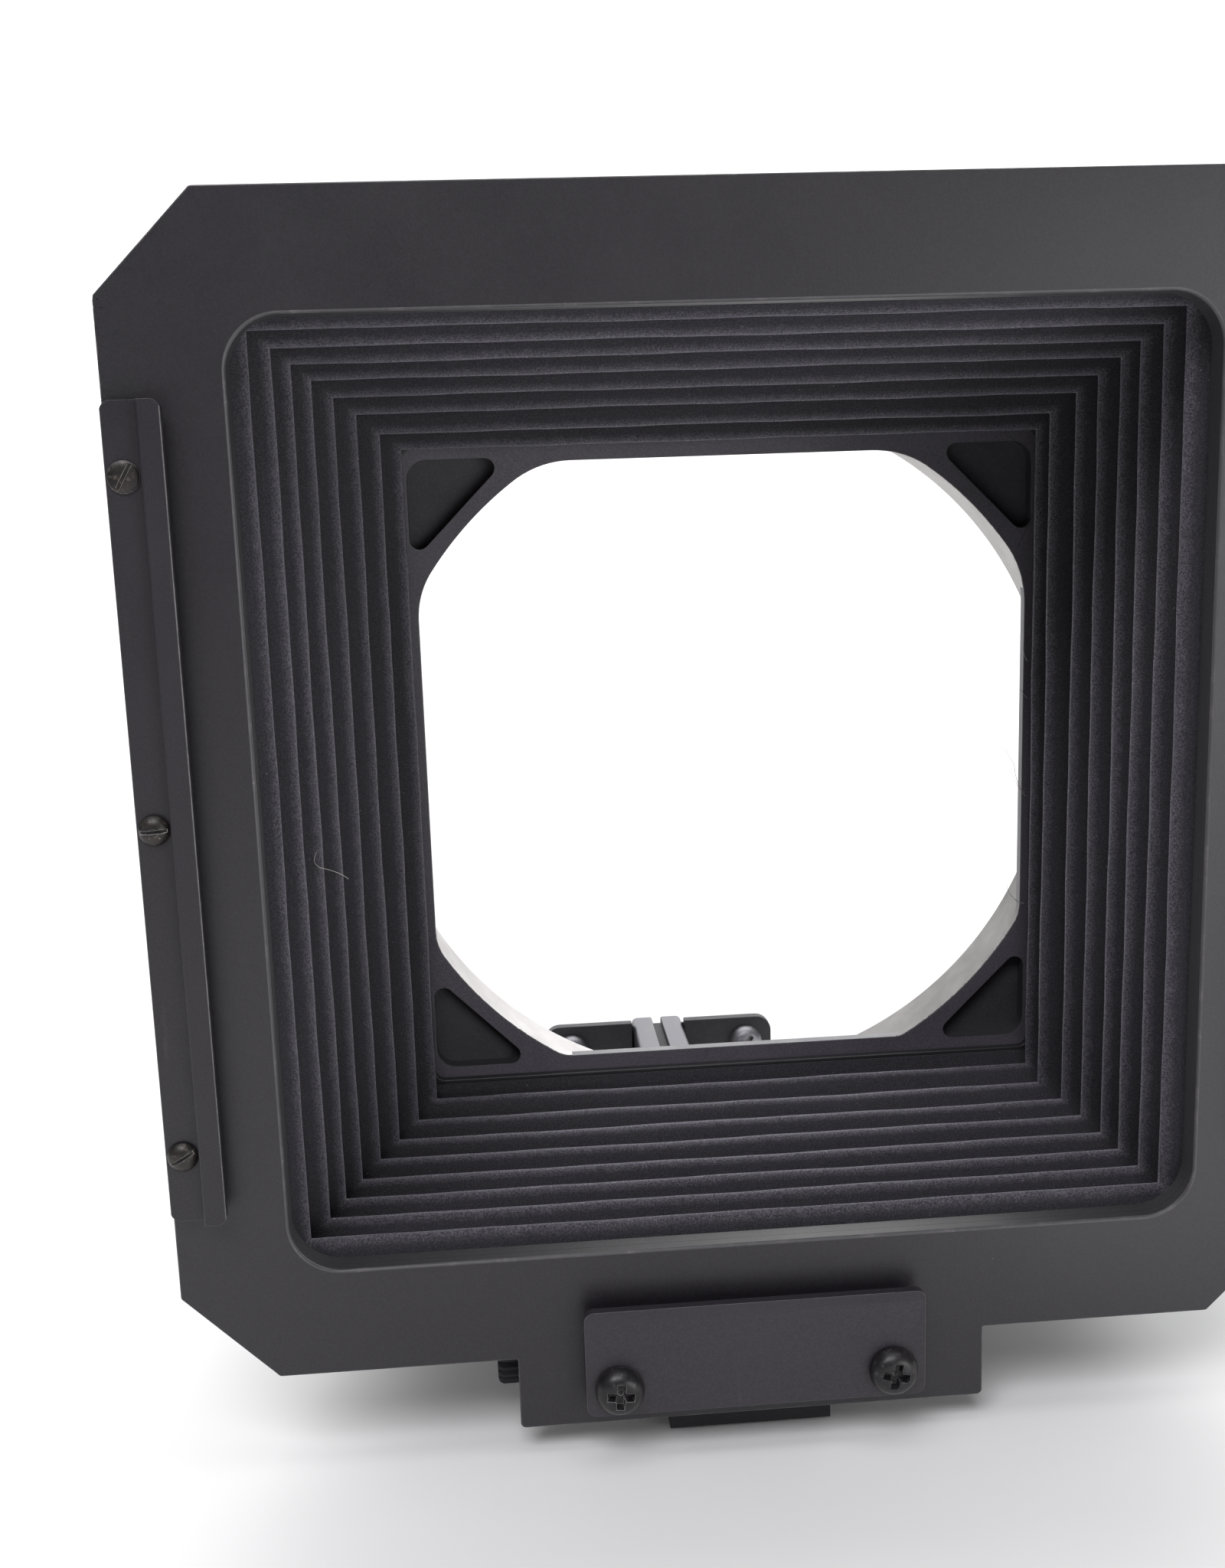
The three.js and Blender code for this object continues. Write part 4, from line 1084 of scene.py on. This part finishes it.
# the adapter screw's threaded hole
top_z = cz + REAR_H - 2.2
boolean(base, [cylinder((cx + 40.5, 69.7, 0), 1.5, top_z - 5.4, top_z + 3.0, "Z")])
clean(base, 3e-6, planar=False)
# soften the mouths of the pockets
bm = bmesh.new()
bm.from_mesh(base.data)
mouth = []
for e in bm.edges:
    if len(e.link_faces) == 2 and e.calc_face_angle(0) > 1.0:
        q = [(v.co / MM - SHIFT) for v in e.verts]
        if all(abs(v.y - REAR_Y) < 0.01 for v in q) and all(30.3 < max(abs(v.x - cx), abs(v.z - cz)) < 45.0 and min(abs(v.x - cx), abs(v.z - cz)) > 29.9 for v in q):
            mouth.append(e)
bmesh.ops.bevel(bm, geom=mouth, offset=0.14 * MM, offset_type="OFFSET", segments=2, profile=0.5, affect="EDGES", clamp_overlap=True, material=1)
bm.to_mesh(base.data)
bm.free()
# the wall of the bore is bare metal; the pockets and the lower right quarter of the bore wall get darker finishes,
# which are painted shade
bare, recess_shade_slot, lip_, shaded_quarter_slot = also(base, "bore_wall"), also(base, "recess_shade"), also(base, "lip"), also(base, "bore_wall_shaded")
for q in base.data.polygons:
    c_ = q.center / MM - SHIFT
    rx, rz = c_.x - cx, c_.z - cz
    r = math.hypot(rx, rz)
    inward = -(q.normal.x * rx + q.normal.z * rz) / max(r, 1e-6)
    on_arc = 50.6 < r < 51.6
    on_flat = abs(max(abs(rx), abs(rz)) - APER_H) < 0.12 and r < 51.6
    deep = c_.y > REAR_Y + 0.25 and r > 52.6 and max(abs(rx), abs(rz)) < 45.1 and min(abs(rx), abs(rz)) > 30
    # pocket faces: darker finish, painted shade in the recesses
    if deep and c_.y < REAR_Y + 2.6:
        q.material_index = recess_shade_slot
    elif abs(q.normal.y) < 0.3 and inward > 0.4 and on_flat and not on_arc:
        q.material_index = lip_
    elif abs(q.normal.y) < 0.3 and inward > 0.4 and (on_arc or on_flat or (r < 51.0 and max(abs(rx), abs(rz)) < 44.4)):
        # the lower right quarter of the bore wall gets a darker copy of its finish: painted shade
        q.material_index = shaded_quarter_slot if rx > 0 and rz < 0 else bare
smooth(base, 34)
wn = base.modifiers.new("n", "WEIGHTED_NORMAL")
wn.keep_sharp = True
applied(base)
base["mat_key"] = "frame_grey"
finish_piece(base, "rear", "rear_frame")

rc = prism("rear_clamp_ring", [rrect(cx - 52, cx + 52, cz - 52, cz + 52, 3, 8), rrect(cx - 45.3, cx + 45.3, cz - 46.4, cz + 46.4, 1.5, 6)], 62.9, 64.1, 0.15, "Y", "black_moulded")
finish_piece(rc, "rear", "bellows_rear_clamp")

finish_piece(softened("rear_bracket_block", "rear_bracket", 0.3, "black_moulded"), "rear", "rear_bracket")

# ----------------------------------------------------------------- monorail
sec = fillet([(-4.3, -66.6), (4.3, -66.6), (4.3, -61.0), (0.78, -61.0), (0.78, -62.3), (-0.78, -62.3), (-0.78, -61.0), (-4.3, -61.0)], [0.3, 0.3, 0.9, 0.3, 0.12, 0.12, 0.3, 0.9], 5)
monorail = prism("rail_bar", [sec], 2.0, 105.4, 0.25, "Y", "rail_metal", seg=4)
# the groove's walls take the darker recess finish: painted shade in the groove
groove_shade_slot = also(monorail, "recess_shade")
for q in monorail.data.polygons:
    c_ = q.center / MM - SHIFT
    if abs(c_.x) < 1.06 and -62.4 < c_.z < -61.15 and abs(q.normal.y) < 0.5:
        q.material_index = groove_shade_slot
finish_piece(monorail, "front", "rail")
finish_piece(softened("rail_foot_plate_sheet", "rail_foot_plate", 0.14, "foot_grey"), "front", "rail_foot_plate")
finish_piece(softened("rail_end_block_body", "rail_end_block", 0.35, "black_moulded"), "front", "rail_end_block")
for side, sx in (("left", -1), ("right", 1)):
    pan_screw(f"foot_screw_{side}_head", sx * 15.3, -64.8, 101.0, 6.2, "screw_metal", "front", f"foot_screw_{side}", 0.5 * sx)

# adapter thumb screw on the upper right boss
ax_, ay, zt = cx + 40.5, 69.7, cz + REAR_H - 2.2
asc = lathe("adapter_screw_head", [(0, zt + 4.6), (2.4, zt + 4.6), (2.95, zt + 4.45), (3.2, zt + 4.15), (3.3, zt + 3.8), (3.3, zt + 1.9), (3.2, zt + 1.45), (2.95, zt + 1.25), (2.5, zt + 1.2),
             (2.2, zt + 1.2), (2.2, zt + 0.3), (1.2, zt + 0.3), (1.2, zt - 4.8), (0.9, zt - 5.0), (0, zt - 5.0)], (ax_, ay, 0), "Z", "black_plate", 120, (20, 0.34, zt + 1.4, zt + 4.2), 34)
finish_piece(asc, "adapter_lock", "adapter_screw")
BZ = -70.2
sls = lathe("slide_lock_screw_head", [(0, BZ - 4.4), (3.0, BZ - 4.4), (3.55, BZ - 4.25), (3.8, BZ - 3.95), (3.9, BZ - 3.6), (3.9, BZ - 2.5), (3.8, BZ - 2.1), (3.5, BZ - 1.85), (3.0, BZ - 1.8),
             (2.3, BZ - 1.8), (2.3, BZ - 0.4), (1.4, BZ - 0.4), (1.4, -68.2), (1.2, -68.0), (0, -68.0)], (0, 72.2, 0), "Z", "black_plate", 120, (20, 0.38, BZ - 4.0, BZ - 2.0), 34)
finish_piece(sls, "slide_lock", "slide_lock_screw")

# ------------------------------------------------------------ stray fibres
def fibre(name, pts, r, taper=0.4):
    """A loose thread along a smooth curve."""
    P = [Vector(p) for p in pts]
    line = []
    for i in range(len(P) - 1):
        a, b = P[max(i - 1, 0)], P[i]
        c_, d = P[i + 1], P[min(i + 2, len(P) - 1)]
        for k in range(5):
            t = k / 5
            line.append(0.5 * ((2 * b) + (c_ - a) * t + (2 * a - 5 * b + 4 * c_ - d) * t * t + (-a + 3 * b - 3 * c_ + d) * t ** 3))
    line.append(P[-1])
    bm = bmesh.new()
    rings = []
    for i, p in enumerate(line):
        d = (line[min(i + 1, len(line) - 1)] - line[max(i - 1, 0)]).normalized()
        u = d.cross(Vector((0, 1, 0.1))).normalized()
        w = d.cross(u)
        q = r * (1 - (1 - taper) * (1 - i / (len(line) - 1)))
        rings.append([bm.verts.new(place(p + (u * math.cos(a) + w * math.sin(a)) * q)) for a in (0, 1.2566, 2.5133, 3.7699, 5.0265)])
    for a, b in zip(rings, rings[1:]):
        for i in range(5):
            j = (i + 1) % 5
            bm.faces.new((a[i], a[j], b[j], b[i]))
    bm.faces.new(rings[0][::-1])
    bm.faces.new(rings[-1])
    return to_object(name, bm, "fibre", 60)


loose = [
    ([(48.73, 64.1, -6.79), (49.45, 64.1, -8.1), (50.24, 64.1, -9.5), (50.8, 64.1, -10.57), (51.05, 64.1, -12.12), (51.85, 64.15, -14.31), (52.6, 64.25, -15.3)], 0.045),
    ([(49.49, 64.15, -9.87), (49.97, 64.15, -10.87), (50.76, 64.15, -12.44), (51.39, 64.15, -13.68), (52.5, 64.25, -14.8)], 0.035),
    ([(51.61, 64.1, 1.08), (51.92, 64.1, 0.38), (52.6, 64.2, -0.5)], 0.06),
    ([(51.82, 64.1, 7.09), (52.08, 64.1, 5.89), (52.6, 64.2, 5.0)], 0.06),
    ([(49.94, 64.1, -28.91), (50.2, 64.1, -29.9), (50.91, 64.1, -30.94), (51.77, 64.15, -31.68), (52.6, 64.25, -32.0)], 0.06),
]
for i, (line_, r_) in enumerate(loose):
    finish_piece(fibre(f"loose_fibre_{i + 1}", line_, r_), "rear")
thread = fibre("bellows_thread", [(-48.17, 19.5, -8.13), (-48.46, 19.4, -8.74), (-48.49, 19.5, -9.42), (-48.04, 20.1, -10.16), (-47.3, 21.0, -10.66),
                                  (-46.8, 23.8, -11.63), (-46.3, 25.6, -12.38), (-45.85, 27.0, -13.08), (-45.4, 28.0, -13.75)], 0.06)
del thread["mat_key"]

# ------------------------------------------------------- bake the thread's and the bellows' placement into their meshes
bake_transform(thread)
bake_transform(cloth)

# ---------------------------------------------------------------- the stage
def stage_floor():
    bm = bmesh.new()
    r = 3.0
    ring = [bm.verts.new((r * math.cos(i / 96 * 2 * math.pi), r * math.sin(i / 96 * 2 * math.pi), -0.0004)) for i in range(96)]
    bm.faces.new(ring)
    n = Nodes("pale_floor").set(Roughness=0.6)
    col = n.mix(n.ramp(n.noise(5, 4), [(0.3, 0.0), (0.7, 1.0)]), (0.83, 0.83, 0.825), (0.88, 0.88, 0.875))
    m = n.out(col)
    # the floor thins out into the white surroundings, so that it has no horizon
    length = n.nt.nodes.new("ShaderNodeVectorMath")
    length.operation = "LENGTH"
    n.link(n.coord, length.inputs[0])
    fade = n.nt.nodes.new("ShaderNodeMapRange")
    fade.interpolation_type = "SMOOTHSTEP"
    fade.inputs["From Min"].default_value = 0.34
    fade.inputs["From Max"].default_value = 0.85
    n.link(length.outputs["Value"], fade.inputs["Value"])
    clear = n.nt.nodes.new("ShaderNodeBsdfTransparent")
    mixer = n.nt.nodes.new("ShaderNodeMixShader")
    n.link(fade.outputs[0], mixer.inputs[0])
    n.link(n.bsdf.outputs[0], mixer.inputs[1])
    n.link(clear.outputs[0], mixer.inputs[2])
    out = next(x for x in n.nt.nodes if x.type == "OUTPUT_MATERIAL")
    n.link(mixer.outputs[0], out.inputs["Surface"])
    ob = to_object("floor", bm, m)
    del ob["mat_key"]
    return ob


stage_floor()


def area(name, loc, target, size, power, size_y=None, colour=(1, 1, 1), cam=False):
    d = bpy.data.lights.new(name, "AREA")
    d.shape = "RECTANGLE"
    d.size, d.size_y = size, size_y or size
    d.energy = power
    d.color = colour
    o = bpy.data.objects.new(name, d)
    o.location = loc
    o.rotation_mode = "QUATERNION"
    o.rotation_quaternion = (Vector(target) - Vector(loc)).to_track_quat("-Z", "Y")
    o.visible_camera = cam
    bpy.context.scene.collection.objects.link(o)
    return o


c = Vector((0, 0, 0.07))
area("back_light", (0.1, 1.5, 0.76), (0.1, 0, 0.76), 3.2, 38, 1.5)
area("over_light", (0.0, 0.30, 1.3), (0, -0.05, 0), 1.5, 13)
area("front_top", (-0.26, -0.74, 0.94), (0, 0, 0.03), 0.7, 8.3, 0.5, (0.985, 0.965, 1.0))
area("floor_glow", (0.34, -0.30, 0.003), (0.34, -0.30, 1.0), 0.6, 0.44, 0.44)
area("front_light", (0.42, -0.62, 0.10), c, 0.35, 1.3, 0.2)

world = bpy.data.worlds.new("studio")
bpy.context.scene.world = world
world.use_nodes = True
nt = world.node_tree
nt.nodes.clear()
out = nt.nodes.new("ShaderNodeOutputWorld")
path = nt.nodes.new("ShaderNodeLightPath")
bright = nt.nodes.new("ShaderNodeBackground")
bright.inputs["Color"].default_value = (1, 1, 1, 1)
bright.inputs["Strength"].default_value = 1.35
dim = nt.nodes.new("ShaderNodeBackground")
dim.inputs["Color"].default_value = (0.96, 0.97, 1, 1)
dim.inputs["Strength"].default_value = 0.165
mixs = nt.nodes.new("ShaderNodeMixShader")
nt.links.new(path.outputs["Is Camera Ray"], mixs.inputs["Fac"])
nt.links.new(dim.outputs[0], mixs.inputs[1])
nt.links.new(bright.outputs[0], mixs.inputs[2])
nt.links.new(mixs.outputs[0], out.inputs["Surface"])
bpy.context.scene.view_settings.view_transform = "Standard"

# -------------------------------------------------------------------- update the scene
bpy.context.view_layer.update()
